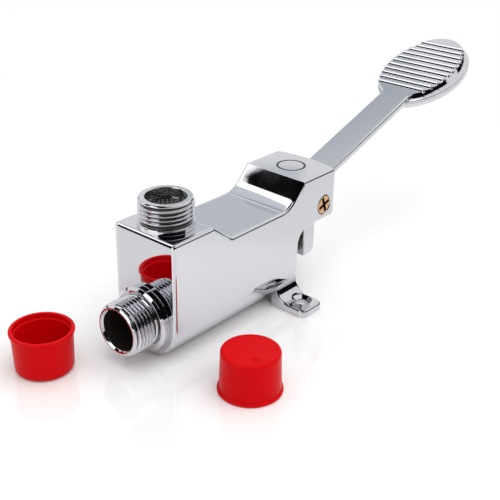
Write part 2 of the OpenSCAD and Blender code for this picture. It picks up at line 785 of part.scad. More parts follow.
// Bell crank: ribbed tread, arm, boss and the tail that pushes the stem
module pedal_lever() color(chrome) difference() {
    union() {
        at_front() translate([0, pivot_y, pivot_h]) side_view(lever_w) lever_side();
        at_arm() {
            translate([0, 0, arm_top - arm_t]) linear_extrude(arm_t)
                tread_plan(tread_w / 2 - rim_w, tread_len / 2 - rim_w);
            tread_rim();
            tread_ribs();
        }
    }
    at_front() translate([0, pivot_y, pivot_h]) rotate([0, 90, 0])
        cylinder(h = lever_w + 2 * cut, r = bush_r + seat_gap, center = true);
}

// Bush that turns on the pivot screw
module pivot_bush() color(nylon) at_front() translate([0, pivot_y, pivot_h]) rotate([0, 90, 0]) difference() {
    cylinder(h = lever_w, r = bush_r, center = true);
    cylinder(h = lever_w + 2 * cut, r = pivot_d / 2 + run_gap, center = true);
}

// Push-on cap for a pipe thread, standing on its closed end
module thread_cap() {
    end_r = cap_mouth_r + cap_wall - cap_taper;
    difference() {
        rotate_extrude() polygon(concat(
            [[0, 0]],
            arc_corner([0, 0], [end_r, 0], [end_r, cap_h], cap_end_r),
            [
                [cap_mouth_r + cap_wall, cap_h - cap_lip_t],
                [cap_mouth_r + cap_wall + cap_lip_w, cap_h - cap_lip_t],
                [cap_mouth_r + cap_wall + cap_lip_w, cap_h],
                [cap_mouth_r, cap_h],
                [end_r - cap_wall, cap_end_t],
                [0, cap_end_t]
            ]
        ));
        translate([gate_r, 0, -cut]) cylinder(h = cut + gate_depth, d = gate_d);
    }
}

module inlet_cap() color(cap_red) translate([-inlet_cap_x, -inlet_cap_y - front_to_holes, 0]) thread_cap();

module outlet_cap() color(cap_red) translate([outlet_cap_x, outlet_cap_y - front_to_holes, cap_h])
    rotate([180, 0, outlet_cap_turn]) thread_cap();

valve_body();
inlet_nipple();
inlet_seal();
outlet_nipple();
outlet_seal();
strainer_ring();
strainer_mesh();
seat_ring();
packing_washer();
gland_packing();
gland_nut();
return_spring();
pivot_screw();
valve_stem();
disc_holder();
seat_washer();
stem_nut();
stem_button();
pedal_lever();
pivot_bush();
inlet_cap();
outlet_cap();
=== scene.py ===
"""Looks of the foot pedal tap valve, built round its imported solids.

Every piece is drawn in millimetres from one of two datums: the front face of the
casting on the inlet's axis, or the pedal's pivot along the arm. It is then placed in
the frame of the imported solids, in metres.
"""

import json
import logging
import math
from collections.abc import Callable, Iterable, Sequence
from dataclasses import dataclass, field
from enum import Enum

import bmesh
import bpy
import numpy as np
from mathutils import Matrix, Vector


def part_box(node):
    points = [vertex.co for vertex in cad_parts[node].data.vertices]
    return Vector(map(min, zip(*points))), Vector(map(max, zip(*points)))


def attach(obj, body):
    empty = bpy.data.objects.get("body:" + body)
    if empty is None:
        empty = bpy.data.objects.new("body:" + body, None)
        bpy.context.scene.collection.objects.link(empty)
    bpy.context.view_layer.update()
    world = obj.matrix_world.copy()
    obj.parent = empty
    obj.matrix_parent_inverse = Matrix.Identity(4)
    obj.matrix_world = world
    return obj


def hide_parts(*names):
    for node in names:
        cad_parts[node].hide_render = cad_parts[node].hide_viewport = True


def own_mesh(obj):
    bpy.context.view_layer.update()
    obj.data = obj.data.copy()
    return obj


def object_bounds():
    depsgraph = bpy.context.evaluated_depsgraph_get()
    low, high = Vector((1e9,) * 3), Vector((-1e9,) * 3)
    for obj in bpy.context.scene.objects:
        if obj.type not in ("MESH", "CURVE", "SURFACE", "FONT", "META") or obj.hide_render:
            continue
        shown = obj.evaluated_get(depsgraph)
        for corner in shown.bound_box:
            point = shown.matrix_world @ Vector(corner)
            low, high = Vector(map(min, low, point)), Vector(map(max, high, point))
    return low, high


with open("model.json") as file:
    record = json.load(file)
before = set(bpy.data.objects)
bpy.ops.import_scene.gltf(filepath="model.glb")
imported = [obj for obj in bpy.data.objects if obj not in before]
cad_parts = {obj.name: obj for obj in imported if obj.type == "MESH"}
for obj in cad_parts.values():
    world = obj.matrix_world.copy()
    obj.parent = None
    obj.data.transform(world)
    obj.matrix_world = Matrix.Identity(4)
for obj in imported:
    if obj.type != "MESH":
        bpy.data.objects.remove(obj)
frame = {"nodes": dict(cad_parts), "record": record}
CAD_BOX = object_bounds()

log = logging.getLogger("tap_valve")

MM = 0.001
MERGE_MM = 0.0005
# How far a tool reaches past the face that it cuts or joins, in millimetres
OVERSHOOT = 1.0
# Half the angle of a corner that counts as straight
STRAIGHT_HALF_DEG = 89.9
# Share of a large flat in the shading of its corners, in percent
FLAT_WEIGHT = 60
# Least angle of a sharp edge on thin round wire
WIRE_CREASE_DEG = 60.0

Point2 = tuple[float, float]
Point3 = tuple[float, float, float]
Colour = tuple[float, float, float]


class Axis(Enum):
    """Axis that a turned profile goes round."""

    X = "x"
    Y = "y"
    Z = "z"


class Carve(Enum):
    """What a cutter does to a piece."""

    CUT = "DIFFERENCE"
    ADD = "UNION"


class Body(str, Enum):
    """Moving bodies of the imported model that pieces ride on."""

    VALVE = "valve"
    PEDAL = "pedal"
    INLET_CAP = "inlet_cap"
    OUTLET_CAP = "outlet_cap"


# Drawing


@dataclass(frozen=True)
class Corner:
    """Corner of an outline, rounded by a radius."""

    u: float
    v: float
    radius: float = 0.0


@dataclass(frozen=True)
class Station:
    """Point of a path with the direction that faces out of the solid."""

    point: np.ndarray
    out: np.ndarray


def rounded_path(
    corners: Sequence[Corner], step_deg: float = 6.0, gap: float = 0.0, arc_steps: int = 0
) -> list[Station]:
    """Walks an open outline whose solid lies on its right.

    Args:
        corners: The outline's corners, the first and last of which are its ends.
        step_deg: Turn between two points of a rounded corner.
        gap: Longest straight stretch without a point, or 0 for no limit.
        arc_steps: Steps of every rounded corner, or 0 to go by the turn.

    Returns:
        The points of the path, each with its outward direction.
    """
    points = [np.array((c.u, c.v), float) for c in corners]
    stations: list[Station] = []

    def along(start: np.ndarray, end: np.ndarray) -> None:
        """Adds the two ends of a straight stretch and points between them."""
        span = end - start
        reach = float(np.linalg.norm(span))
        if reach < MERGE_MM:
            return
        out = np.array((-span[1], span[0])) / reach
        count = max(1, math.ceil(reach / gap)) if gap else 1
        for i in range(count + 1):
            stations.append(Station(start + span * i / count, out))

    here = points[0]
    for before, point, after, corner in zip(points, points[1:], points[2:], corners[1:]):
        back = (before - point) / np.linalg.norm(before - point)
        ahead = (after - point) / np.linalg.norm(after - point)
        half = math.acos(float(np.clip(back @ ahead, -1, 1))) / 2
        if corner.radius <= 0 or half > math.radians(STRAIGHT_HALF_DEG):
            along(here, point)
            here = point
            continue
        tangent = corner.radius / math.tan(half)
        start, end = point + back * tangent, point + ahead * tangent
        mid = back + ahead
        centre = point + mid / np.linalg.norm(mid) * corner.radius / math.sin(half)
        convex = back[0] * ahead[1] - back[1] * ahead[0] > 0
        along(here, start)
        first = math.atan2(*(start - centre)[::-1])
        sweep = math.atan2(*(end - centre)[::-1]) - first
        sweep = (sweep + 3 * math.pi) % (2 * math.pi) - math.pi
        steps = arc_steps or max(2, math.ceil(abs(math.degrees(sweep)) / step_deg))
        for i in range(steps + 1):
            angle = first + sweep * i / steps
            spoke = np.array((math.cos(angle), math.sin(angle)))
            stations.append(Station(centre + corner.radius * spoke, spoke if convex else -spoke))
        here = end
    along(here, points[-1])
    return stations


def rounded_loop(corners: Sequence[Corner], step_deg: float = 12.0) -> list[Point2]:
    """Rounds the corners of a closed outline.

    Args:
        corners: The outline's corners in order.
        step_deg: Turn between two points of a rounded corner.

    Returns:
        The points of the closed outline.
    """
    first, last = corners[0], corners[-1]
    middle = Corner((first.u + last.u) / 2, (first.v + last.v) / 2)
    path = rounded_path([middle, *corners, middle], step_deg)
    loop: list[Point2] = []
    for station in path[:-1]:
        point = (float(station.point[0]), float(station.point[1]))
        if not loop or math.dist(loop[-1], point) > MERGE_MM:
            loop.append(point)
    return loop


def edge_round(half: float, radius: float, steps: int) -> list[Point2]:
    """Gives a quarter round at the right-hand edge of a width.

    Args:
        half: Half of the width.
        radius: Radius of the edge.
        steps: Number of steps in it.

    Returns:
        Points of place across and depth below the top.
    """
    turns = [math.pi / 2 * i / steps for i in range(steps + 1)]
    return [(half - radius + radius * math.sin(a), radius * (1 - math.cos(a))) for a in turns]


class Draft:
    """Mesh in the making, in millimetres from a datum."""

    def __init__(self) -> None:
        """Starts with nothing drawn."""
        self.points: list[Point3] = []
        self.faces: list[list[int]] = []

    def add(self, points: Iterable[Sequence[float]]) -> list[int]:
        """Adds points.

        Args:
            points: Places of the new points.

        Returns:
            Their numbers.
        """
        start = len(self.points)
        self.points.extend(tuple(float(c) for c in p) for p in points)
        return list(range(start, len(self.points)))

    def skin(self, rows: Sequence[Sequence[int]], ring: bool = False, loop: bool = False) -> None:
        """Lays faces between neighbouring rows of points.

        Args:
            rows: Rows of point numbers, all of one length.
            ring: Whether each row closes on itself.
            loop: Whether the last row meets the first.
        """
        pairs = list(zip(rows, rows[1:])) + ([(rows[-1], rows[0])] if loop else [])
        for low, high in pairs:
            count = len(low)
            for i in range(count if ring else count - 1):
                j = (i + 1) % count
                self.faces.append([low[i], low[j], high[j], high[i]])

    def cap(self, row: Sequence[int]) -> None:
        """Closes a flat row of points with one face."""
        self.faces.append(list(row))

    def cap_ends(self, rows: Sequence[Sequence[int]]) -> None:
        """Closes both sides of a skin with one face each."""
        for pick in (0, -1):
            self.cap([row[pick] for row in rows])

    def block(self, tops: Sequence[Sequence[int]], feet: Sequence[Sequence[int]]) -> None:
        """Closes two grids of points, one above the other, into a solid.

        Args:
            tops: Rows of the upper grid.
            feet: Rows of the lower grid.
        """
        self.skin(tops)
        self.skin(feet)
        for pick in (0, -1):
            self.skin([[row[pick] for row in tops], [row[pick] for row in feet]])
            self.skin([tops[pick], feet[pick]])

    def moved(self, x: float = 0.0, y: float = 0.0, z: float = 0.0) -> "Draft":
        """Shifts the drawing and gives it back."""
        self.points = [(px + x, py + y, pz + z) for px, py, pz in self.points]
        return self

    def mesh(self, name: str, place: Matrix) -> bpy.types.Mesh:
        """Makes a clean closed mesh.

        Args:
            name: Name of the mesh.
            place: Matrix from the datum's millimetres to the frame's metres.

        Returns:
            The mesh, with faces pointing outwards.
        """
        data = bpy.data.meshes.new(name)
        work = bmesh.new()
        made = [work.verts.new(p) for p in self.points]
        for ids in self.faces:
            corners = [made[i] for i in dict.fromkeys(ids)]
            if len(corners) > 2 and not work.faces.get(corners):
                work.faces.new(corners)
        bmesh.ops.remove_doubles(work, verts=work.verts, dist=MERGE_MM)
        bmesh.ops.dissolve_degenerate(work, edges=work.edges, dist=MERGE_MM)
        bmesh.ops.recalc_face_normals(work, faces=work.faces)
        work.transform(place)
        work.to_mesh(data)
        work.free()
        return data

    def piece(self, name: str, place: Matrix, *materials: bpy.types.Material) -> bpy.types.Object:
        """Makes an object of the drawing.

        Args:
            name: Name of the object.
            place: Matrix from the datum to the frame.
            materials: Materials of the object, the first of which covers it.

        Returns:
            The new object, at the origin.
        """
        return put(name, self.mesh(name, place), *materials)


def put(name: str, data: bpy.types.Mesh, *materials: bpy.types.Material) -> bpy.types.Object:
    """Puts a mesh into the scene.

    Args:
        name: Name of the object.
        data: The mesh.
        materials: Materials to give it.

    Returns:
        The new object, at the origin.
    """
    data.name = name
    for material in materials:
        data.materials.append(material)
    piece = bpy.data.objects.new(name, data)
    bpy.context.scene.collection.objects.link(piece)
    return piece


def turned(profile: Sequence[Point2], axis: Axis, steps: int) -> Draft:
    """Turns a closed profile round an axis.

    Args:
        profile: Points of radius and place along the axis.
        axis: The axis to turn round.
        steps: Number of sides.

    Returns:
        The turned drawing.
    """
    draft = Draft()
    rows = []
    for i in range(steps):
        c, s = math.cos(2 * math.pi * i / steps), math.sin(2 * math.pi * i / steps)
        ring = {
            Axis.X: [(a, r * c, r * s) for r, a in profile],
            Axis.Y: [(r * s, a, r * c) for r, a in profile],
            Axis.Z: [(r * c, r * s, a) for r, a in profile],
        }[axis]
        rows.append(draft.add(ring))
    draft.skin(rows, ring=True, loop=True)
    return draft


def settle(piece: bpy.types.Object) -> None:
    """Turns a piece's live modifiers into plain mesh."""
    bpy.context.view_layer.update()
    graph = bpy.context.evaluated_depsgraph_get()
    shown = piece.evaluated_get(graph)
    data = bpy.data.meshes.new_from_object(shown, preserve_all_data_layers=True, depsgraph=graph)
    old, name = piece.data, piece.data.name
    piece.modifiers.clear()
    piece.data = data
    bpy.data.meshes.remove(old)
    data.name = name


def carve(piece: bpy.types.Object, tool: bpy.types.Object, how: Carve) -> None:
    """Cuts a tool out of a piece, or adds it, and throws the tool away.

    Args:
        piece: The piece to change.
        tool: The shape to cut or add.
        how: Whether to cut or to add.
    """
    change = piece.modifiers.new("carve", "BOOLEAN")
    change.object, change.operation, change.solver = tool, how.value, "EXACT"
    change.material_mode = "TRANSFER"
    settle(piece)
    data = tool.data
    bpy.data.objects.remove(tool)
    bpy.data.meshes.remove(data)


def join(piece: bpy.types.Object, *others: bpy.types.Mesh) -> None:
    """Adds other meshes to a piece as further closed shells.

    Args:
        piece: The piece to add to.
        others: Meshes in the same frame, which take the piece's first material.
    """
    work = bmesh.new()
    work.from_mesh(piece.data)
    for other in others:
        work.from_mesh(other)
        bpy.data.meshes.remove(other)
    work.to_mesh(piece.data)
    work.free()


def polish(piece: bpy.types.Object, crease_deg: float = 32.0) -> None:
    """Shades a piece smooth between its creases, with its flats kept flat.

    Args:
        piece: The piece to shade.
        crease_deg: Least angle of an edge that stays sharp.
    """
    data = piece.data
    data.polygons.foreach_set("use_smooth", [True] * len(data.polygons))
    data.set_sharp_from_angle(angle=math.radians(crease_deg))
    weighted = piece.modifiers.new("flats", "WEIGHTED_NORMAL")
    weighted.mode, weighted.weight, weighted.keep_sharp = "FACE_AREA", FLAT_WEIGHT, True
    settle(piece)


def hand_over(piece: bpy.types.Object, body: Body, slot: str, *nodes: str) -> None:
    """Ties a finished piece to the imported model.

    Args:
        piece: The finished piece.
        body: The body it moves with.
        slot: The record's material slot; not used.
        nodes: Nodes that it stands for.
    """
    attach(piece, body.value)
    if nodes:
        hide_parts(*nodes)
    log.info("%s rides on %s, %d faces", piece.name, body.value, len(piece.data.polygons))


# Trees of nodes


class NodeTree:
    """Tree of nodes that is filled by the names of its sockets."""

    def __init__(self, tree: bpy.types.NodeTree) -> None:
        """Takes up a tree."""
        self.tree = tree

    def add(
        self, kind: str, inputs: dict[str | int, object] | None = None, **settings: object
    ) -> bpy.types.Node:
        """Adds a node.

        Args:
            kind: Type of the node.
            inputs: Values or sockets for its inputs, by name or number.
            settings: Values of its own properties.

        Returns:
            The new node.
        """
        node = self.tree.nodes.new(kind)
        for key, value in settings.items():
            setattr(node, key, value)
        return self.fill(node, inputs or {})

    def fill(self, node: bpy.types.Node, inputs: dict[str | int, object]) -> bpy.types.Node:
        """Sets or links the inputs of a node and gives it back."""
        for key, value in inputs.items():
            self.feed(node.inputs[key], value)
        return node

    def feed(self, socket: bpy.types.NodeSocket, value: object) -> None:
        """Links a socket to a node's output, or sets its value."""
        if isinstance(value, bpy.types.Node):
            value = next(o for o in value.outputs if o.enabled)
        if isinstance(value, bpy.types.NodeSocket):
            self.tree.links.new(value, socket)
        else:
            socket.default_value = value

    def maths(self, operation: str, *terms: object, **settings: object) -> bpy.types.Node:
        """Adds a sum on one, two or three terms."""
        return self.add("ShaderNodeMath", dict(enumerate(terms)), operation=operation, **settings)

    def end_with_mix(self, share: object, first: bpy.types.Node, second: bpy.types.Node) -> None:
        """Ends a material's tree with a mix of two shaders.

        Args:
            share: Share of the second shader.
            first: The first shader.
            second: The second shader.
        """
        mixed = self.add("ShaderNodeMixShader", {0: share, 1: first, 2: second})
        self.fill(self.tree.nodes["Material Output"], {"Surface": mixed})


def new_material(name: str) -> tuple[bpy.types.Material, NodeTree]:
    """Starts a material.

    Args:
        name: Name of the material.

    Returns:
        The material and its tree.
    """
    made = bpy.data.materials.new(name)
    made.use_nodes = True
    return made, NodeTree(made.node_tree)


class GeometryTree(NodeTree):
    """Tree of geometry nodes with named sizes, whose result becomes a plain mesh."""

    def __init__(self, name: str) -> None:
        """Starts an empty tree of the given name."""
        super().__init__(bpy.data.node_groups.new(name, "GeometryNodeTree"))
        sockets = self.tree.interface
        sockets.new_socket("Geometry", in_out="OUTPUT", socket_type="NodeSocketGeometry")
        self.sizes = self.tree.nodes.new("NodeGroupInput")
        self.end = self.tree.nodes.new("NodeGroupOutput")
        self.values: dict[str, object] = {}

    def size(self, name: str, value: float | int | bpy.types.Material) -> bpy.types.NodeSocket:
        """Adds a named input.

        Args:
            name: Name of the input.
            value: Its value on this piece.

        Returns:
            The socket that gives the value inside the tree.
        """
        kinds = {int: "NodeSocketInt", float: "NodeSocketFloat"}
        kind = kinds.get(type(value), "NodeSocketMaterial")
        made = self.tree.interface.new_socket(name, in_out="INPUT", socket_type=kind)
        self.values[made.identifier] = value
        return self.sizes.outputs[name]

    def mesh(
        self, shape: bpy.types.Node, material: bpy.types.Material, place: Matrix
    ) -> bpy.types.Mesh:
        """Ends the tree and turns its result into a mesh.

        Args:
            shape: Node that puts out the geometry.
            material: Material of the result.
            place: Matrix from the tree's millimetres to the frame's metres.

        Returns:
            The plain mesh, in the frame.
        """
        whole = self.add("GeometryNodeRealizeInstances", {"Geometry": shape})
        finish = self.size("Finish", material)
        dressed = self.add("GeometryNodeSetMaterial", {"Geometry": whole, "Material": finish})
        self.feed(self.end.inputs[0], dressed)
        holder = put(self.tree.name, bpy.data.meshes.new(self.tree.name))
        change = holder.modifiers.new("shape", "NODES")
        change.node_group = self.tree
        for key, value in self.values.items():
            change[key] = value
        bpy.context.view_layer.update()
        shown = holder.evaluated_get(bpy.context.evaluated_depsgraph_get())
        data = bpy.data.meshes.new_from_object(shown)
        blank = holder.data
        holder.modifiers.clear()
        bpy.data.objects.remove(holder)
        bpy.data.meshes.remove(blank)
        work = bmesh.new()
        work.from_mesh(data)
        bmesh.ops.remove_doubles(work, verts=work.verts, dist=MERGE_MM)
        bmesh.ops.recalc_face_normals(work, faces=work.faces)
        work.transform(place)
        work.to_mesh(data)
        work.free()
        return data


@dataclass
class PipeThread:
    """Helical ridge of a pipe thread with rounded crests."""

    outside_r: float
    length: float
    pitch: float = 1.62
    depth: float = 1.0
    crest_w: float = 0.36
    foot_share: float = 0.9
    root_sink: float = 0.35
    round_r: float = 0.2
    round_steps: int = 4
    free_turns: float = 0.5
    # How steeply the ridge rises at its two ends, and how softly the rise stops
    rise_rate: float = 2.5
    rise_soft: float = 0.2
    points_per_turn: int = 72

    @property
    def core_r(self) -> float:
        """Radius at the foot of the ridge."""
        return self.outside_r - self.depth

    def mesh(self, name: str, material: bpy.types.Material, place: Matrix) -> bpy.types.Mesh:
        """Winds the ridge along +Z from the datum.

        Args:
            name: Name of the tree and its mesh.
            material: Material of the ridge.
            place: Matrix from the thread's axis to the frame.

        Returns:
            The ridge as a plain mesh.
        """
        tree = GeometryTree(name)
        turns = tree.size("Turns", self.length / self.pitch - self.free_turns)
        pitch = tree.size("Pitch", self.pitch)
        height = self.depth + self.root_sink
        middle_r = tree.size("Middle Radius", self.outside_r - height / 2)
        helix = tree.add(
            "GeometryNodeCurveSpiral",
            {
                "Resolution": self.points_per_turn,
                "Rotations": turns,
                "Start Radius": middle_r,
                "End Radius": middle_r,
                "Height": tree.maths("MULTIPLY", turns, pitch),
                "Reverse": True,
            },
        )
        upright = tree.add("GeometryNodeSetCurveNormal", {"Curve": helix}, mode="Z_UP")
        tooth = tree.add(
            "GeometryNodeCurvePrimitiveQuadrilateral",
            {
                "Bottom Width": tree.maths("MULTIPLY", pitch, self.foot_share),
                "Top Width": self.crest_w,
                "Height": height,
                "Offset": 0.0,
            },
            mode="TRAPEZOID",
        )
        soft = tree.add(
            "GeometryNodeFilletCurve",
            {
                "Curve": tooth,
                "Count": self.round_steps,
                "Radius": self.round_r,
                "Limit Radius": True,
            },
            mode="POLY",
        )
        facing_out = tree.add(
            "GeometryNodeTransform", {"Geometry": soft, "Rotation": (0, 0, -math.pi / 2)}
        )
        run = tree.add("GeometryNodeSplineParameter").outputs["Factor"]
        to_end = tree.maths("MINIMUM", run, tree.maths("SUBTRACT", 1.0, run))
        fade = tree.maths("MULTIPLY", to_end, tree.maths("MULTIPLY", turns, self.rise_rate))
        rise = tree.maths("SMOOTH_MIN", fade, 1.0, self.rise_soft)
        swept = tree.add(
            "GeometryNodeCurveToMesh",
            {"Curve": upright, "Profile Curve": facing_out, "Scale": rise, "Fill Caps": True},
        )
        return tree.mesh(swept, material, place)


@dataclass
class WovenDisc:
    """Round disc of plain-woven wire."""

    radius: float
    pitch: float = 1.15
    wire_r: float = 0.15
    samples_per_pitch: int = 6
    sides: int = 6
    warp_start: float = 0.5
    weft_start: float = 1.5

    def _wires(
        self, tree: GeometryTree, sizes: dict[str, bpy.types.NodeSocket], shift: float
    ) -> bpy.types.Node:
        """Lays wavy wires side by side.

        Args:
            tree: The tree to build in.
            sizes: Sockets of the disc's sizes.
            shift: Which way round the waves start.

        Returns:
            The node that puts out the curves, cut to the disc.
        """
        rows = math.ceil(self.radius / self.pitch)
        reach = rows * self.pitch
        line = tree.add(
            "GeometryNodeCurvePrimitiveLine", {"Start": (-reach, 0, 0), "End": (reach, 0, 0)}
        )
        wire = tree.add(
            "GeometryNodeResampleCurve",
            {"Curve": line, "Count": 2 * rows * self.samples_per_pitch + 1},
        )
        starts = tree.add(
            "GeometryNodeMeshLine",
            {
                "Count": 2 * rows + 1,
                "Start Location": (0, -reach, 0),
                "Offset": (0, self.pitch, 0),
            },
        )
        laid = tree.add("GeometryNodeInstanceOnPoints", {"Points": starts, "Instance": wire})
        loose = tree.add("GeometryNodeRealizeInstances", {"Geometry": laid})
        place = tree.add("ShaderNodeSeparateXYZ", {"Vector": tree.add("GeometryNodeInputPosition")})
        x, y = place.outputs["X"], place.outputs["Y"]
        across = tree.maths("ADD", tree.maths("DIVIDE", x, sizes["pitch"]), shift)
        number = tree.maths("ROUND", tree.maths("DIVIDE", y, sizes["pitch"]))
        angle = tree.maths("MULTIPLY", tree.maths("ADD", across, number), math.pi)
        wave = tree.maths("MULTIPLY", tree.maths("SINE", angle), sizes["wire"])
        lifted = tree.add(
            "GeometryNodeSetPosition",
            {"Geometry": loose, "Offset": tree.add("ShaderNodeCombineXYZ", {"Z": wave})},
        )
        squares = [tree.maths("POWER", term, 2.0) for term in (x, y)]
        away = tree.maths("SQRT", tree.maths("ADD", *squares))
        outside = tree.add(
            "FunctionNodeCompare", {"A": away, "B": sizes["radius"]}, operation="GREATER_THAN"
        )
        return tree.add(
            "GeometryNodeDeleteGeometry", {"Geometry": lifted, "Selection": outside}, domain="POINT"
        )

    def mesh(self, name: str, material: bpy.types.Material, place: Matrix) -> bpy.types.Mesh:
        """Weaves the disc about the datum.

        Args:
            name: Name of the tree and its mesh.
            material: Material of the wires.
            place: Matrix from the disc's middle to the frame.

        Returns:
            The disc as a plain mesh.
        """
        tree = GeometryTree(name)
        sizes = {
            "radius": tree.size("Disc Radius", self.radius),
            "pitch": tree.size("Wire Pitch", self.pitch),
            "wire": tree.size("Wire Radius", self.wire_r),
        }
        warp = self._wires(tree, sizes, self.warp_start)
        weft = tree.add(
            "GeometryNodeTransform",
            {
                "Geometry": self._wires(tree, sizes, self.weft_start),
                "Rotation": (0, 0, math.pi / 2),
            },
        )
        both = tree.add("GeometryNodeJoinGeometry")
        for half in (warp, weft):
            tree.feed(both.inputs[0], half)
        ring = tree.add(
            "GeometryNodeCurvePrimitiveCircle", {"Resolution": self.sides, "Radius": sizes["wire"]}
        )
        swept = tree.add(
            "GeometryNodeCurveToMesh", {"Curve": both, "Profile Curve": ring, "Fill Caps": True}
        )
        return tree.mesh(swept, material, place)


@dataclass
class TreadRibs:
    """Row of half-sunk round ribs across an oval tread, each with rounded ends."""

    count: int
    pitch: float
    radius: float
    height: float
    half_w: float
    half_len: float
    first: float
    nose: float = 1.0
    blunt: float = 0.0001
    sides: int = 22
    gap: float = 0.25

    def mesh(self, name: str, material: bpy.types.Material, place: Matrix) -> bpy.types.Mesh:
        """Lays the ribs about the tread's middle, along +Y.

        Args:
            name: Name of the tree and its mesh.
            material: Material of the ribs.
            place: Matrix from the tread's middle to the frame.

        Returns:
            The ribs as a plain mesh.
        """
        tree = GeometryTree(name)
        half_w = tree.size("Oval Half Width", self.half_w)
        half_len = tree.size("Oval Half Length", self.half_len)
        starts = tree.add(
            "GeometryNodeMeshLine",
            {
                "Count": tree.size("Ribs", self.count),
                "Start Location": (0, self.first, self.height - self.radius),
                "Offset": (0, self.pitch, 0),
            },
        )
        here = tree.add("GeometryNodeInputPosition")
        place_y = tree.add("ShaderNodeSeparateXYZ", {"Vector": here})
        share = tree.maths("DIVIDE", place_y.outputs["Y"], half_len)
        chord = tree.maths("SQRT", tree.maths("SUBTRACT", 1.0, tree.maths("POWER", share, 2.0)))
        stretch = tree.add(
            "ShaderNodeCombineXYZ", {"X": tree.maths("MULTIPLY", chord, half_w), "Y": 1.0, "Z": 1.0}
        )
        line = tree.add("GeometryNodeCurvePrimitiveLine", {"Start": (-1, 0, 0), "End": (1, 0, 0)})
        laid = tree.add(
            "GeometryNodeInstanceOnPoints", {"Points": starts, "Instance": line, "Scale": stretch}
        )
        loose = tree.add("GeometryNodeRealizeInstances", {"Geometry": laid})
        bars = tree.add(
            "GeometryNodeResampleCurve", {"Curve": loose, "Length": self.gap}, mode="LENGTH"
        )
        upright = tree.add("GeometryNodeSetCurveNormal", {"Curve": bars}, mode="Z_UP")
        section = tree.add(
            "GeometryNodeCurvePrimitiveCircle",
            {"Resolution": self.sides, "Radius": tree.size("Rib Radius", self.radius)},
        )
        along = tree.add("GeometryNodeSplineParameter").outputs["Length"]
        whole = tree.add("GeometryNodeSplineLength").outputs["Length"]
        to_end = tree.maths("MINIMUM", along, tree.maths("SUBTRACT", whole, along))
        clear = tree.maths("MINIMUM", tree.maths("DIVIDE", to_end, self.nose), 1.0)
        near = tree.maths("POWER", tree.maths("SUBTRACT", 1.0, clear), 2.0)
        rise = tree.maths("SQRT", tree.maths("SUBTRACT", 1.0 + self.blunt, near))
        swept = tree.add(
            "GeometryNodeCurveToMesh",
            {"Curve": upright, "Profile Curve": section, "Scale": rise, "Fill Caps": True},
        )
        return tree.mesh(swept, material, place)


# Finishes


@dataclass
class ShaderGroups:
    """Shared effects of the finishes, each built once."""

    patch_detail: float = 4.0
    patch_range: Point2 = (0.3, 0.7)
    mark_detail: float = 1.0
    mark_turns: Point2 = (0.35, 1.9)
    mark_stretch: float = 0.02
    mark_range: Point2 = (0.72, 0.8)
    variation: bpy.types.NodeTree = field(init=False)
    hairlines: bpy.types.NodeTree = field(init=False)

    def __post_init__(self) -> None:
        """Builds the two shared effects."""
        self.variation = self._variation()
        self.hairlines = self._hairlines()

    @staticmethod
    def _group(name: str, inputs: dict[str, float], outputs: Sequence[str]) -> NodeTree:
        """Starts a group.

        Args:
            name: Name of the group.
            inputs: Names of its numbers with their values, besides a vector.
            outputs: Names of its outputs.

        Returns:
            The group's tree.
        """
        tree = bpy.data.node_groups.new(name, "ShaderNodeTree")
        tree.interface.new_socket("Vector", in_out="INPUT", socket_type="NodeSocketVector")
        for key, value in inputs.items():
            made = tree.interface.new_socket(key, in_out="INPUT", socket_type="NodeSocketFloat")
            made.default_value = value
        for key in outputs:
            tree.interface.new_socket(key, in_out="OUTPUT", socket_type="NodeSocketFloat")
        return NodeTree(tree)

    def _variation(self) -> bpy.types.NodeTree:
        """Builds soft patches of duller and brighter polish."""
        group = self._group(
            "polish_variation", {"Scale": 60.0, "Low": 0.03, "High": 0.08}, ("Value", "Height")
        )
        given = group.add("NodeGroupInput").outputs
        patches = group.add(
            "ShaderNodeTexNoise",
            {"Vector": given["Vector"], "Scale": given["Scale"], "Detail": self.patch_detail},
        )
        spread = group.add(
            "ShaderNodeMapRange",
            {
                "Value": patches.outputs["Fac"],
                "From Min": self.patch_range[0],
                "From Max": self.patch_range[1],
                "To Min": given["Low"],
                "To Max": given["High"],
            },
            interpolation_type="SMOOTHSTEP",
        )
        group.add(
            "NodeGroupOutput", {"Value": spread.outputs["Result"], "Height": patches.outputs["Fac"]}
        )
        return group.tree

    def _hairlines(self) -> bpy.types.NodeTree:
        """Builds sparse fine marks in two directions."""
        group = self._group("hairline_marks", {"Scale": 900.0, "Cover": 0.3}, ("Mask",))
        given = group.add("NodeGroupInput").outputs
        masks = []
        for turn in self.mark_turns:
            aim = group.add(
                "ShaderNodeMapping",
                {
                    "Vector": given["Vector"],
                    "Rotation": (turn, turn / 2, turn),
                    "Scale": (1.0, self.mark_stretch, 1.0),
                },
            )
            noise = group.add(
                "ShaderNodeTexNoise",
                {"Vector": aim, "Scale": given["Scale"], "Detail": self.mark_detail},
            )
            low, high = self.mark_range
            masks.append(group.add(
                "ShaderNodeMapRange",
                {"Value": noise.outputs["Fac"], "From Min": low, "From Max": high},
            ))
        most = group.maths("MAXIMUM", *masks)
        group.add("NodeGroupOutput", {"Mask": group.maths("MULTIPLY", most, given["Cover"])})
        return group.tree


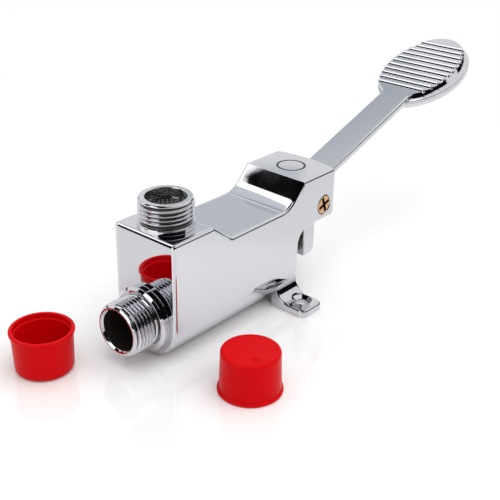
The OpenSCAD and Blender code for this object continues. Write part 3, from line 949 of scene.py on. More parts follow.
@dataclass(frozen=True)
class Finish:
    """Surface of one kind of piece.

    Two colours are mixed in soft patches, and the roughness, fine marks and small
    waves of the surface have their own amounts.
    """

    name: str
    colour: Colour
    second: Colour
    metallic: float
    rough: Point2
    patch_scale: float = 60.0
    marks: float = 0.0
    mark_scale: float = 900.0
    wave_scale: float = 40.0
    wave_mm: float = 0.0
    specular: float = 0.5

    def material(self, groups: ShaderGroups) -> bpy.types.Material:
        """Builds the material.

        Args:
            groups: The shared effects.

        Returns:
            The new material.
        """
        made, tree = new_material(self.name)
        where = tree.add("ShaderNodeTexCoord").outputs["Object"]
        low, high = self.rough
        patch = tree.add(
            "ShaderNodeGroup",
            {"Vector": where, "Scale": self.patch_scale, "Low": low, "High": high},
            node_tree=groups.variation,
        )
        rough = patch.outputs["Value"]
        if self.marks:
            lines = tree.add(
                "ShaderNodeGroup",
                {"Vector": where, "Scale": self.mark_scale, "Cover": self.marks},
                node_tree=groups.hairlines,
            )
            rough = tree.maths("ADD", rough, lines.outputs["Mask"])
        tint = tree.add(
            "ShaderNodeMix",
            {
                "Factor": patch.outputs["Height"],
                "A": (*self.colour, 1.0),
                "B": (*self.second, 1.0),
            },
            data_type="RGBA",
        )
        looks: dict[str | int, object] = {
            "Metallic": self.metallic,
            "Specular IOR Level": self.specular,
            "Roughness": rough,
            "Base Color": tint.outputs["Result"],
        }
        if self.wave_mm:
            wave = tree.add(
                "ShaderNodeGroup",
                {"Vector": where, "Scale": self.wave_scale},
                node_tree=groups.variation,
            )
            looks["Normal"] = tree.add(
                "ShaderNodeBump",
                {
                    "Strength": 1.0,
                    "Distance": self.wave_mm * MM,
                    "Height": wave.outputs["Height"],
                },
            )
        tree.fill(made.node_tree.nodes["Principled BSDF"], looks)
        return made


class Slot(str, Enum):
    """Material slots of the record."""

    CAST_CHROME = "chrome_casting"
    TURNED_CHROME = "chrome_turned"
    BRASS = "plain_brass"
    SCREW_BRASS = "screw_brass"
    STEEL = "strainer_steel"
    RUBBER = "black_rubber"
    NYLON = "white_nylon"
    RED = "red_plastic"


CHROME = (0.668, 0.671, 0.706)
CHROME_DULL = (0.642, 0.645, 0.678)

FINISHES: dict[Slot, Finish] = {
    Slot.CAST_CHROME: Finish(
        "cast_chrome", CHROME, CHROME_DULL, 1.0, (0.02, 0.06),
        marks=0.03, wave_scale=45.0, wave_mm=0.02,
    ),
    Slot.TURNED_CHROME: Finish(
        "turned_chrome", CHROME, CHROME_DULL, 1.0, (0.04, 0.1), marks=0.04
    ),
    Slot.BRASS: Finish(
        "plain_brass", (0.63, 0.43, 0.16), (0.5, 0.33, 0.12), 1.0, (0.22, 0.38), marks=0.1
    ),
    Slot.SCREW_BRASS: Finish(
        "screw_brass", (0.78, 0.47, 0.25), (0.66, 0.38, 0.2), 1.0, (0.2, 0.34), marks=0.1
    ),
    Slot.STEEL: Finish("wire_steel", (0.32, 0.31, 0.29), (0.2, 0.19, 0.18), 1.0, (0.25, 0.4)),
    Slot.RUBBER: Finish(
        "seal_rubber", (0.02, 0.02, 0.02), (0.035, 0.034, 0.033), 0.0, (0.5, 0.7)
    ),
    Slot.NYLON: Finish(
        "natural_nylon", (0.8, 0.79, 0.73), (0.74, 0.72, 0.65), 0.0, (0.4, 0.55)
    ),
    Slot.RED: Finish(
        "red_plastic", (0.66, 0.001, 0.004), (0.58, 0.0008, 0.003), 0.0, (0.26, 0.34),
        wave_scale=220.0, wave_mm=0.004, specular=0.06,
    ),
}
# Dark finish of the bores, the thread roots and the screw's slot: in the bores partly unplated
# metal and partly painted shade, in the roots and the slot painted shade.
BORE_AND_SHADE = Finish("bore_and_painted_shade", (0.06, 0.049, 0.042), (0.03, 0.025, 0.022), 0.6, (0.25, 0.45))


class Palette:
    """Materials of the valve, one for each slot of the record."""

    def __init__(self) -> None:
        """Builds every material."""
        groups = ShaderGroups()
        self.by_slot = {slot: finish.material(groups) for slot, finish in FINISHES.items()}
        # Dark finish that paints shade into the bores, the thread roots and the screw's slot, over
        # unplated metal in the bores.
        self.bore = BORE_AND_SHADE.material(groups)

    def __getitem__(self, slot: Slot) -> bpy.types.Material:
        """Gives the material of a slot."""
        return self.by_slot[slot]


# The valve


@dataclass
class Datums:
    """Places that the pieces are drawn from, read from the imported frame."""

    front: Matrix = field(init=False)
    arm: Matrix = field(init=False)
    pivot: Vector = field(init=False)
    front_y: float = field(init=False)
    axis_z: float = field(init=False)
    outlet_y: float = field(init=False)
    arm_slope_deg: float = 18.5

    def __post_init__(self) -> None:
        """Reads the datums from the boxes of the nodes and from the pedal's joint."""
        low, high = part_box("inlet_nipple")
        self.axis_z = (low.z + high.z) / 2
        self.front_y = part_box("valve_body")[0].y
        out_low, out_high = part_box("outlet_nipple")
        self.outlet_y = ((out_low.y + out_high.y) / 2 - self.front_y) / MM
        joints = frame["record"]["behaviour"]["joints"]
        self.pivot = Vector(next(j for j in joints if j["name"] == "pedal_pivot")["pos_m"])
        scale = Matrix.Scale(MM, 4)
        self.front = Matrix.Translation((0, self.front_y, self.axis_z)) @ scale
        slope = Matrix.Rotation(math.radians(self.arm_slope_deg), 4, "X")
        self.arm = Matrix.Translation(self.pivot) @ slope @ scale

    def at_front(self, x: float = 0.0, y: float = 0.0, z: float = 0.0) -> Matrix:
        """Gives the front datum moved by millimetres."""
        return self.front @ Matrix.Translation((x, y, z))

    def at_pivot(self) -> Matrix:
        """Gives the pivot datum with its axes along the frame's."""
        return Matrix.Translation(self.pivot) @ Matrix.Scale(MM, 4)


@dataclass
class CastBody:
    """Cast body: port block, waist, hood, half-round bottom and two ears."""

    datums: Datums
    half_w: float = 15.5
    length: float = 97.5
    rear_bow: float = 2.6
    bow_from: float = 80.0
    rear_wall: float = 71.8
    block_h: float = 34.0
    block_len: float = 20.7
    slope_end: float = 30.5
    waist_h: float = 26.6
    waist_r: float = 11.0
    hood_h: float = 36.1
    hood_front: float = 73.7
    hood_slope_deg: float = 47.0
    hood_under: float = 15.0
    hood_under_r: float = 6.5
    brow_r: float = 0.3
    top_r: float = 2.0
    front_r: float = 1.5
    valley_r: float = 3.0
    edge_r: float = 1.3
    profile_step_deg: float = 5.0
    profile_gap: float = 4.0
    columns: int = 24
    fillet_steps: int = 6
    half_round_steps: int = 64
    boss_r: float = 10.9
    boss_lip: float = 0.03
    boss_sides: int = 96
    # Ears
    hole_x: float = 21.6
    holes_y: float = 67.4
    ear_x: float = 29.0
    ear_front: float = 8.0
    ear_rear: float = 5.0
    ear_t: float = 3.0
    ear_corner_r: float = 3.0
    ear_edge_r: float = 0.9
    ear_sweep_r: float = 7.0
    ear_inner: float = 12.0
    # Steps of an ear, and how far they crowd towards its ends
    ear_sweep_steps: int = 14
    ear_flat_steps: int = 26
    ear_flat_crowd: float = 0.9
    ear_along_steps: int = 28
    ear_along_crowd: float = 1.0
    hole_r: float = 2.6
    hole_sides: int = 64
    sink_r: float = 4.2
    sink_foot_r: float = 0.5
    sink_rim_r: float = 0.3
    sink_lift: float = 0.02
    sink_flare: float = 0.25
    # Hollows
    slot_half: float = 7.8
    slot_front: float = 78.9
    slot_roof: float = 28.99
    slot_r: float = 3.0
    slot_step_deg: float = 8.0
    slot_over: float = 2.0
    pin_r: float = 2.55
    pin_blind: float = 5.5
    head_r: float = 4.2
    head_h: float = 2.4
    head_break: float = 0.25
    inlet_socket: Point2 = (10.05, 9.5)
    inlet_chamber: Point2 = (9.6, 40.0)
    outlet_chamber: Point2 = (7.5, 54.3)
    gland_bore: Point2 = (6.05, 57.3)
    gland_seat: Point2 = (8.68, 71.3)
    stem_hole_r: float = 3.55
    outlet_socket: Point2 = (8.95, 24.5)
    outlet_throat: Point2 = (6.6, 13.5)
    bore_sides: int = 72
    rear_over: float = 4.0

    @property
    def axis_drop(self) -> float:
        """Height of the inlet's axis above the floor."""
        return self.datums.axis_z / MM

    def profile(self) -> list[Station]:
        """Walks the side view from the inlet's axis over the top to the rear wall."""
        slope = math.tan(math.radians(self.hood_slope_deg))
        foot = self.hood_front - (self.hood_h - self.waist_h) / slope
        return rounded_path(
            [
                Corner(0, 0),
                Corner(0, self.block_h, self.front_r),
                Corner(self.block_len, self.block_h, self.front_r),
                Corner(self.slope_end, self.waist_h, self.valley_r),
                Corner(foot, self.waist_h, self.waist_r),
                Corner(self.hood_front, self.hood_h, self.brow_r),
                Corner(self.length, self.hood_h, self.top_r),
                Corner(self.length, self.hood_under, self.top_r),
                Corner(self.rear_wall, self.hood_under, self.hood_under_r),
                Corner(self.rear_wall, 0),
            ],
            step_deg=self.profile_step_deg,
            gap=self.profile_gap,
        )

    def section(self) -> list[Point2]:
        """Gives the casting's width, from its left side over the top to its right.

        Returns:
            Points of place across and depth below the profile.
        """
        flat = self.half_w - self.edge_r
        right = edge_round(self.half_w, self.edge_r, self.fillet_steps)
        across = [(-flat + 2 * flat * i / self.columns, 0.0) for i in range(1, self.columns)]
        return [(-x, d) for x, d in reversed(right)] + across + right

    def bowed(self, x: float, y: float) -> float:
        """Gives how far along a point lies once the rear of the hood is bowed."""
        share = max(0.0, (y - self.bow_from) / (self.length - self.bow_from))
        return y - self.rear_bow * (x / self.half_w) ** 2 * share

    def shell(self) -> Draft:
        """Draws the casting without its ears and hollows."""
        draft = Draft()
        section = self.section()
        rows = []
        for station in self.profile():
            y0, z0 = station.point
            out_y, out_z = station.out
            rows.append(draft.add(
                (x, self.bowed(x, y0 - d * out_y), z0 - d * out_z) for x, d in section
            ))
        draft.skin(rows)
        draft.cap_ends(rows)
        half = [(x, d) for x, d in section if x >= -MERGE_MM]
        angles = [math.pi * i / self.half_round_steps for i in range(self.half_round_steps + 1)]
        rims = []
        for y_at in (lambda d: d, lambda d: self.rear_wall - d):
            rings = [
                draft.add((x * math.cos(a), y_at(d), -x * math.sin(a)) for x, d in half)
                for a in angles
            ]
            draft.skin(rings)
            rims.append([ring[-1] for ring in rings])
        draft.skin(rims)
        return draft

    def ear(self, side: int) -> Draft:
        """Draws one ear as a plate that sweeps up into the casting.

        Args:
            side: 1 for the right-hand ear, -1 for the left-hand one.

        Returns:
            The drawing, from the front datum.
        """
        draft = Draft()
        wall = self.half_w - self.edge_r
        crest = self.ear_t + self.ear_sweep_r

        def height(x: float) -> float:
            """Gives the top of the ear at a distance from the middle."""
            if x <= wall:
                return crest
            if x >= wall + self.ear_sweep_r:
                return self.ear_t
            return crest - math.sqrt(self.ear_sweep_r**2 - (wall + self.ear_sweep_r - x) ** 2)

        def margin(x: float, y: float) -> float:
            """Gives the distance of a point from the ear's outline."""
            r = self.ear_corner_r
            dx, front, rear = self.ear_x - x, y + self.ear_front, self.ear_rear - y
            dy = min(front, rear)
            if dx < r and dy < r:
                return r - math.hypot(r - dx, r - dy)
            return min(dx, dy)

        def eased(count: int, ends: float) -> list[float]:
            """Gives shares from 0 to 1 that crowd towards both ends."""
            base = [i / count for i in range(count + 1)]
            return [(1 - ends) * t + ends * (1 - math.cos(math.pi * t)) / 2 for t in base]

        steps = self.ear_sweep_steps
        turns = [math.pi / 2 * i / steps for i in range(steps + 1)]
        sweep = [wall + self.ear_sweep_r * (1 - math.cos(a)) for a in turns]
        shares = eased(self.ear_flat_steps, self.ear_flat_crowd)[1:]
        flat = [sweep[-1] + (self.ear_x - sweep[-1]) * t for t in shares]
        edge_r = self.ear_edge_r
        rows, low = [], []
        for x in [self.ear_inner, *sweep, *flat]:
            reach = max(0.0, x - (self.ear_x - self.ear_corner_r))
            pull = self.ear_corner_r - math.sqrt(max(0.0, self.ear_corner_r**2 - reach**2))
            front, rear = pull - self.ear_front, self.ear_rear - pull
            row, foot = [], []
            for t in eased(self.ear_along_steps, self.ear_along_crowd):
                y = front + (rear - front) * t
                gap = min(edge_r, max(0.0, margin(x, y)))
                drop = edge_r - math.sqrt(edge_r**2 - (edge_r - gap) ** 2)
                row.append((side * x, self.holes_y + y, height(x) - drop - self.axis_drop))
                foot.append((side * x, self.holes_y + y, -self.axis_drop))
            rows.append(draft.add(row))
            low.append(draft.add(foot))
        draft.block(rows, low)
        return draft

    def hole(self, side: int) -> Draft:
        """Draws the tool for a countersunk fixing hole, with a softened rim.

        Args:
            side: 1 for the right-hand ear, -1 for the left-hand one.

        Returns:
            The drawing, from the front datum.
        """
        deep = self.sink_r - self.hole_r
        tall = self.ear_sweep_r + self.ear_t
        loop = rounded_loop([
            Corner(0, -OVERSHOOT),
            Corner(self.hole_r, -OVERSHOOT),
            Corner(self.hole_r, self.ear_t - deep, self.sink_foot_r),
            Corner(self.sink_r, self.ear_t + self.sink_lift, self.sink_rim_r),
            Corner(self.sink_r + self.sink_flare, tall),
            Corner(0, tall),
        ])
        draft = turned(loop, Axis.Z, self.hole_sides)
        return draft.moved(side * self.hole_x, self.holes_y, -self.axis_drop)

    def slot(self) -> Draft:
        """Draws the tool for the lever's slot, open below and behind the hood."""
        draft = Draft()
        mouth, end = self.hood_under - self.hood_under_r - OVERSHOOT, self.length + self.slot_over
        path = rounded_path(
            [
                Corner(self.slot_front, mouth),
                Corner(self.slot_front, self.slot_roof, self.slot_r),
                Corner(end, self.slot_roof),
                Corner(end, mouth),
            ],
            step_deg=self.slot_step_deg,
        )
        sides = (-self.slot_half, self.slot_half)
        rows = [draft.add((x, *station.point) for x in sides) for station in path]
        draft.skin(rows)
        draft.cap_ends(rows)
        first, last = rows[0], rows[-1]
        draft.cap([first[0], first[1], last[1], last[0]])
        return draft

    def pin_hole(self, pivot: Point2) -> Draft:
        """Draws the tool for the pivot screw's hole and sunk head.

        Args:
            pivot: Place of the pivot along and up from the front datum.

        Returns:
            The drawing, from the front datum.
        """
        face, blind = self.half_w, -self.slot_half - self.pin_blind
        rim = self.head_r + self.head_break
        loop = rounded_loop([
            Corner(0, blind),
            Corner(self.pin_r, blind),
            Corner(self.pin_r, face - self.head_h),
            Corner(self.head_r, face - self.head_h),
            Corner(self.head_r, face - self.head_break),
            Corner(rim, face),
            Corner(rim, face + OVERSHOOT),
            Corner(0, face + OVERSHOOT),
        ])
        return turned(loop, Axis.X, self.hole_sides).moved(0.0, *pivot)

    def waterway(self) -> Draft:
        """Draws the tool for the bores along the inlet's axis."""
        end = self.rear_wall + self.rear_over
        steps = [
            (0.0, -OVERSHOOT), (self.inlet_socket[0], -OVERSHOOT), self.inlet_socket,
            (self.inlet_chamber[0], self.inlet_socket[1]), self.inlet_chamber,
            (self.outlet_chamber[0], self.inlet_chamber[1]), self.outlet_chamber,
            (self.stem_hole_r, self.outlet_chamber[1]), (self.stem_hole_r, self.gland_bore[1]),
            self.gland_bore, (self.gland_bore[0], self.gland_seat[1]), self.gland_seat,
            (self.gland_seat[0], end), (0.0, end),
        ]
        return turned(steps, Axis.Y, self.bore_sides)

    def outlet_way(self) -> Draft:
        """Draws the tool for the bore under the outlet."""
        top = self.block_h + OVERSHOOT
        steps = [
            (0.0, self.outlet_throat[1]), self.outlet_throat,
            (self.outlet_throat[0], self.outlet_socket[1]), self.outlet_socket,
            (self.outlet_socket[0], top), (0.0, top),
        ]
        return turned(steps, Axis.Z, self.bore_sides).moved(y=self.datums.outlet_y)

    def boss(self) -> Draft:
        """Draws the round seat of the outlet where it overhangs the slope."""
        top, low = self.block_h - self.boss_lip, self.waist_h - OVERSHOOT
        steps = [(0.0, low), (self.boss_r, low), (self.boss_r, top), (0.0, top)]
        return turned(steps, Axis.Z, self.boss_sides).moved(y=self.datums.outlet_y)

    def build(self, palette: Palette) -> bpy.types.Object:
        """Makes the casting.

        Args:
            palette: The valve's materials.

        Returns:
            The finished piece.
        """
        chrome, bore, place = palette[Slot.CAST_CHROME], palette.bore, self.datums.front
        piece = self.shell().piece("cast_body", place, chrome)
        for number, draft in enumerate((self.boss(), self.ear(1), self.ear(-1))):
            carve(piece, draft.piece(f"tool_{number}", place, chrome), Carve.ADD)
        pivot = self.datums.pivot
        along, up = (pivot.y - self.datums.front_y) / MM, (pivot.z - self.datums.axis_z) / MM
        for draft in (self.slot(), self.pin_hole((along, up)), self.hole(1), self.hole(-1)):
            carve(piece, draft.piece("tool", place, chrome), Carve.CUT)
        # The bores inside take the dark finish: unplated metal, darkened further as painted shade.
        for draft in (self.waterway(), self.outlet_way()):
            carve(piece, draft.piece("tool", place, bore), Carve.CUT)
        polish(piece)
        hand_over(piece, Body.VALVE, Slot.CAST_CHROME.value, "valve_body")
        return piece


@dataclass
class Ports:
    """The two threaded ports and the strainer in the upper one."""

    datums: Datums
    thread_r: float = 10.4775
    # Inlet, along the inlet's axis
    inlet_tip: float = -14.5
    collar_r: float = 12.8
    collar_t: float = 3.4
    inlet_bore_r: float = 7.9
    mouth_break: float = 0.8
    spigot: Point2 = (10.0, 9.0)
    # Two steps of the nose as inset and depth, and its length
    inlet_nose: tuple[Point2, Point2] = ((1.2, 0.0), (0.25, 0.7))
    inlet_nose_len: float = 1.4
    collar_break: float = 1.0
    collar_foot_r: float = 0.25
    # Where the inlet's dark bore finish of unplated metal and painted shade starts, and slack round
    # the bore's wall
    bore_from: float = 1.5
    bore_slack: float = 0.2
    # Outlet, up from the inlet's axis
    block_h: float = 34.0
    ring_r: float = 10.8
    ring_t: float = 2.0
    outlet_top: float = 45.3
    outlet_bore_r: float = 7.7
    throat_r: float = 6.6
    outlet_spigot: Point2 = (8.9, 25.0)
    outlet_nose: tuple[Point2, Point2] = ((0.8, 0.0), (0.2, 0.7))
    outlet_nose_len: float = 1.3
    ring_foot_r: float = 0.15
    ring_edge_r: float = 0.5
    mouth_edge_r: float = 0.4
    mesh_seat: float = 39.5
    mesh_top: float = 41.3
    mesh_r: float = 6.95
    # Both
    plain_foot: float = 0.6
    rim_r: float = 0.3
    root_relief: float = 0.5
    root_r: float = 0.2
    # Width of the band at the thread roots that takes the dark finish as painted shade
    root_shade_band: float = 0.06
    sides: int = 128

    def inlet(self, palette: Palette) -> bpy.types.Object:
        """Makes the front port with its collar and thread."""
        thread = PipeThread(self.thread_r, -self.inlet_tip - self.collar_t - self.plain_foot)
        core, tip, wall = thread.core_r, self.inlet_tip, self.inlet_bore_r
        rim, ledge, chrome = self.rim_r, -self.collar_t, palette[Slot.TURNED_CHROME]
        loop = rounded_loop([
            Corner(wall, tip + self.mouth_break, rim),
            Corner(wall + self.mouth_break, tip, rim),
            *(Corner(self.thread_r - gap, tip + deep, rim) for gap, deep in self.inlet_nose),
            Corner(core, tip + self.inlet_nose_len, rim),
            Corner(core, ledge - self.root_relief, rim),
            Corner(core + self.root_relief, ledge, self.root_r),
            Corner(self.collar_r - self.collar_break, ledge, rim),
            Corner(self.collar_r, ledge + self.collar_break, rim),
            Corner(self.collar_r, 0, self.collar_foot_r),
            Corner(self.spigot[0], 0),
            Corner(*self.spigot),
            Corner(wall, self.spigot[1]),
        ])
        drawing = turned(loop, Axis.Y, self.sides)
        piece = drawing.piece("inlet_port", self.datums.front, chrome, palette.bore)
        turn = Matrix.Rotation(math.pi / 2, 4, "X")
        place = self.datums.at_front(0, ledge - self.plain_foot, 0) @ turn
        join(piece, thread.mesh("inlet_thread", chrome, place))
        inside = self.datums.front_y + (tip + self.bore_from) * MM

        def bare_or_shaded(point: Vector) -> bool:
            """Tells the bore, whose dark finish is unplated metal with painted shade, and the
            thread roots, whose dark finish is painted shade, from the rest.
            """
            reach = math.hypot(point.x, point.z - self.datums.axis_z) / MM
            in_bore = reach < wall + self.bore_slack and point.y > inside
            return in_bore or abs(reach - core) < self.root_shade_band

        return self._finish(piece, bare_or_shaded, "inlet_nipple")

    def outlet(self, palette: Palette) -> bpy.types.Object:
        """Makes the top port with its plain ring and thread."""
        foot = self.block_h + self.ring_t
        thread = PipeThread(self.thread_r, self.outlet_top - foot - self.plain_foot)
        core, top, wall = thread.core_r, self.outlet_top, self.outlet_bore_r
        rim, chrome = self.rim_r, palette[Slot.TURNED_CHROME]
        loop = rounded_loop([
            Corner(self.throat_r, self.mesh_seat),
            Corner(wall, self.mesh_seat),
            Corner(wall, top, self.mouth_edge_r),
            *(Corner(self.thread_r - gap, top - deep, rim) for gap, deep in self.outlet_nose),
            Corner(core, top - self.outlet_nose_len, rim),
            Corner(core, foot, self.root_r),
            Corner(self.ring_r, foot, self.ring_edge_r),
            Corner(self.ring_r, self.block_h, self.ring_foot_r),
            Corner(self.outlet_spigot[0], self.block_h),
            Corner(*self.outlet_spigot),
            Corner(self.throat_r, self.outlet_spigot[1]),
        ])
        place = self.datums.at_front(0, self.datums.outlet_y, 0)
        drawing = turned(loop, Axis.Z, self.sides)
        piece = drawing.piece("outlet_port", place, chrome, palette.bore)
        start = place @ Matrix.Translation((0, 0, foot + self.plain_foot))
        join(piece, thread.mesh("outlet_thread", chrome, start))
        axis = place.translation

        def bare_or_shaded(point: Vector) -> bool:
            """Tells the roots of the thread, whose dark finish is painted shade, from the rest."""
            reach = math.hypot(point.x - axis.x, point.y - axis.y) / MM
            return abs(reach - core) < self.root_shade_band

        return self._finish(piece, bare_or_shaded, "outlet_nipple")

    @staticmethod
    def _finish(
        piece: bpy.types.Object, bare_or_shaded: Callable[[Vector], bool], node: str
    ) -> bpy.types.Object:
        """Gives the picked faces of a port the dark finish of painted shade, over unplated metal in
        the inlet's bore, and hands it over.

        Args:
            piece: The port.
            bare_or_shaded: Tells whether a face with this middle takes the dark finish of painted
                shade.
            node: The node that the port stands for.

        Returns:
            The finished port.
        """
        for face in piece.data.polygons:
            if bare_or_shaded(face.center):
                face.material_index = 1
        polish(piece)
        hand_over(piece, Body.VALVE, Slot.TURNED_CHROME.value, node)
        return piece

    def strainer(self, palette: Palette) -> bpy.types.Object:
        """Makes the woven wire of the strainer."""
        disc = WovenDisc(self.mesh_r)
        place = self.datums.at_front(0, self.datums.outlet_y, self.mesh_top - 2 * disc.wire_r)
        data = disc.mesh("strainer_wires", palette[Slot.STEEL], place)
        piece = put("strainer_wires", data)
        polish(piece, WIRE_CREASE_DEG)
        hand_over(piece, Body.VALVE, Slot.STEEL.value, "strainer_mesh")
        return piece


@dataclass(frozen=True)
class Oval:
    """Oval in the plane of the arm: its middle across and along, and its half sizes."""

    middle_x: float
    middle_s: float
    half_w: float
    half_len: float

    def inset(self, gap: float) -> "Oval":
        """Gives the oval that lies a gap further in."""
        return Oval(self.middle_x, self.middle_s, self.half_w - gap, self.half_len - gap)

    def towards(self, other: "Oval", share: float) -> "Oval":
        """Gives the oval that lies part of the way to another one."""
        pairs = (
            (self.middle_x, other.middle_x),
            (self.middle_s, other.middle_s),
            (self.half_w, other.half_w),
            (self.half_len, other.half_len),
        )
        return Oval(*(here + (there - here) * share for here, there in pairs))

    def points(self, start: float, end: float, steps: int) -> list[Point2]:
        """Gives points along the oval.

        Args:
            start: First angle, from the pivot's side.
            end: Last angle.
            steps: Number of steps between them.

        Returns:
            Points across and along the arm.
        """
        turns = [start + (end - start) * i / steps for i in range(steps + 1)]
        return [
            (self.middle_x + self.half_w * math.sin(t), self.middle_s - self.half_len * math.cos(t))
            for t in turns
        ]


@dataclass
class PedalLever:
    """Pedal: tail, boss, arm and ribbed oval tread in one casting."""

    datums: Datums
    arm_top: float = 3.2
    arm_t: float = 3.4
    arm_half: float = 7.2
    arm_from: float = 1.0
    arm_edge_r: float = 1.0
    bevel_h: float = 1.5
    bevel_top: Oval = Oval(-0.95, 103.0, 17.0, 25.2)
    bevel_foot: Oval = Oval(-0.55, 102.6, 17.65, 25.8)
    rim_oval: Oval = Oval(0.55, 102.2, 18.95, 26.9)
    rim_low: float = -2.4
    rim_top: float = 1.75
    rim_slope: Point2 = (2.4, 0.4)
    rim_round: float = 1.3
    brim_round: float = 0.325
    parting: float = 0.4
    # Groove of the parting line as height and depth
    groove: tuple[Point2, ...] = ((-0.18, 0.0), (-0.08, 0.16), (0.08, 0.16), (0.18, 0.0))
    neck_r: float = 4.0
    neck_gap_deg: float = 14.0
    neck_steps: int = 12
    pad: Oval = Oval(-1.1, 103.1, 17.3, 26.3)
    rib_count: int = 10
    rib_pitch: float = 3.77
    rib_r: float = 1.5
    rib_h: float = 0.75
    rib_shift: float = 0.3
    boss_r: float = 5.5
    boss_half: float = 7.4
    boss_end_deg: float = 60.0
    boss_points: int = 36
    tail_front: float = 1.8
    tail_t: float = 7.4
    tail_len: float = 26.5
    tail_r: float = 3.5
    tail_edge_r: float = 0.8
    tail_edge_steps: int = 4
    crank_step_deg: float = 8.0
    sweep_r: float = 6.5
    root_s: float = 13.0
    root_lap: float = 0.5
    oval_sides: int = 160
    plate_sides: int = 120
    land_rows: int = 40
    land_columns: int = 56
    land_edge_r: float = 0.5

    def plate_outline(self, inset: float, bevel: float) -> list[Point2]:
        """Gives the outline of the arm and of the plate under the ribs.

        Args:
            inset: How far in from the arm's own edge.
            bevel: How far up the tread's bevel, from 0 at its foot to 1 at its top.

        Returns:
            Points across and along the arm.
        """
        edge = self.bevel_foot.towards(self.bevel_top, bevel)
        begin = math.asin(self.arm_half / edge.half_w) + math.radians(self.neck_gap_deg)
        far = edge.points(begin, 2 * math.pi - begin, self.plate_sides)
        sides = []
        for half, end in ((self.arm_half - inset, far[0]), (inset - self.arm_half, far[-1])):
            share = (half - edge.middle_x) / edge.half_w
            corner = edge.middle_s - edge.half_len * math.sqrt(1 - share**2)
            path = rounded_path(
                [Corner(half, self.arm_from), Corner(half, corner, self.neck_r), Corner(*end)],
                arc_steps=self.neck_steps,
            )
            sides.append([(float(step.point[0]), float(step.point[1])) for step in path[:-1]])
        right, left = sides
        return right + far + left[::-1]

    @staticmethod
    def stacked(rows: Sequence[tuple[float, Sequence[Point2]]]) -> Draft:
        """Skins outlines that lie one above the other.

        Args:
            rows: Height and outline of each layer, from the lowest.

        Returns:
            The closed drawing.
        """
        draft = Draft()
        made = [draft.add((x, s, h) for x, s in outline) for h, outline in rows]
        draft.skin(made, ring=True)
        draft.cap(made[0])
        draft.cap(made[-1])
        return draft

    def plate(self) -> Draft:
        """Draws the arm and the plate under the ribs, with rounded edges."""
        low, edge = self.arm_top - self.arm_t, self._edge(self.arm_edge_r)
        under = [(low + d, self.plate_outline(i, 0.0)) for d, i in edge]
        foot = [(self.arm_top - self.bevel_h, self.plate_outline(0.0, 0.0))]
        over = [
            (self.arm_top - d, self.plate_outline(i, 1 - d / self.bevel_h))
            for d, i in reversed(edge)
        ]
        return self.stacked(under + foot + over)

    @staticmethod
    def _edge(radius: float, steps: int = 5) -> list[Point2]:
        """Gives the rise and inset of a rounded edge, from its flat to its side."""
        turns = [math.pi / 2 * i / steps for i in range(steps + 1)]
        return [(radius * (1 - math.cos(a)), radius * (1 - math.sin(a))) for a in turns]

    def rim(self) -> Draft:
        """Draws the tread's rim with a fine groove along its parting line."""
        slope_w, slope_drop = self.rim_slope
        brim = self.rim_top - slope_drop
        under = [(self.rim_low + d, i) for d, i in self._edge(self.rim_round)]
        middle = [(self.parting + h, i) for h, i in self.groove]
        over = [(brim - d, i) for d, i in reversed(self._edge(self.brim_round))]
        rows = under + middle + over + [(self.rim_top, slope_w)]
        return self.stacked([
            (height, self.rim_oval.inset(i).points(0.0, 2 * math.pi, self.oval_sides)[:-1])
            for height, i in rows
        ])

    def land(self) -> Draft:
        """Draws the smooth raised land at the toe, beyond the ribs."""
        draft = Draft()
        a, b, r, edge_r = self.pad.half_w, self.pad.half_len, self.rib_r, self.land_edge_r
        middle = self.pad.middle_s
        start = middle - self.rib_shift + (self.rib_count + 1) / 2 * self.rib_pitch - r
        base, top = self.arm_top - r, self.arm_top + self.rib_h
        rows, low = [], []
        for i in range(self.land_rows + 1):
            t = (1 - math.cos(math.pi * i / self.land_rows)) / 2
            s = start + (middle + b - start) * t
            chord = a * math.sqrt(max(0.0, 1 - ((s - middle) / b) ** 2))
            row = []
            for j in range(self.land_columns + 1):
                x = -chord * math.cos(math.pi * j / self.land_columns)
                edge = (1 - math.hypot(x / a, (s - middle) / b)) * (a + b) / 2
                drops = [
                    size - math.sqrt(max(0.0, size**2 - (size - min(size, max(0.0, gap))) ** 2))
                    for size, gap in ((r, s - start), (edge_r, edge))
                ]
                row.append((self.pad.middle_x + x, s, top - max(drops)))
            rows.append(draft.add(row))
            low.append(draft.add((x, s, base) for x, s, _ in row))
        draft.block(rows, low)
        return draft

    def crank(self) -> Draft:
        """Draws the boss and tail in side view, with rounded side edges, about the pivot."""
        slope = math.radians(self.datums.arm_slope_deg)
        c, s = math.cos(slope), math.sin(slope)
        rear = self.tail_t - self.tail_front
        inside = self.arm_top - self.arm_t + self.root_lap

        def on_arm(along: float, height: float) -> Point2:
            """Gives a place on the arm seen from the side."""
            return along * c - height * s, along * s + height * c

        root = on_arm(self.root_s, inside)
        tip = on_arm(self.root_s, self.arm_top - self.root_lap)
        face = math.acos(self.tail_front / self.boss_r)
        boss = [
            Corner(self.boss_r * math.cos(t), self.boss_r * math.sin(t))
            for t in np.linspace(math.pi + face, math.radians(self.boss_end_deg), self.boss_points)
        ]
        corners = [
            Corner(-self.tail_front, -self.tail_len / 2),
            *boss,
            Corner(*tip), Corner(*root),
            Corner(rear, rear * math.tan(slope) + inside / c, self.sweep_r),
            Corner(rear, -self.tail_len, self.tail_r),
            Corner(-self.tail_front, -self.tail_len, self.tail_edge_r),
            Corner(-self.tail_front, -self.tail_len / 2),
        ]
        draft = Draft()
        right = edge_round(self.boss_half, self.tail_edge_r, self.tail_edge_steps)
        section = [(-x, d) for x, d in reversed(right)] + right
        rows = []
        for station in rounded_path(corners, self.crank_step_deg):
            (y, z), (out_y, out_z) = station.point, station.out
            rows.append(draft.add((x, y - d * out_y, z - d * out_z) for x, d in section))
        draft.skin(rows, loop=True)
        draft.cap_ends(rows)
        return draft

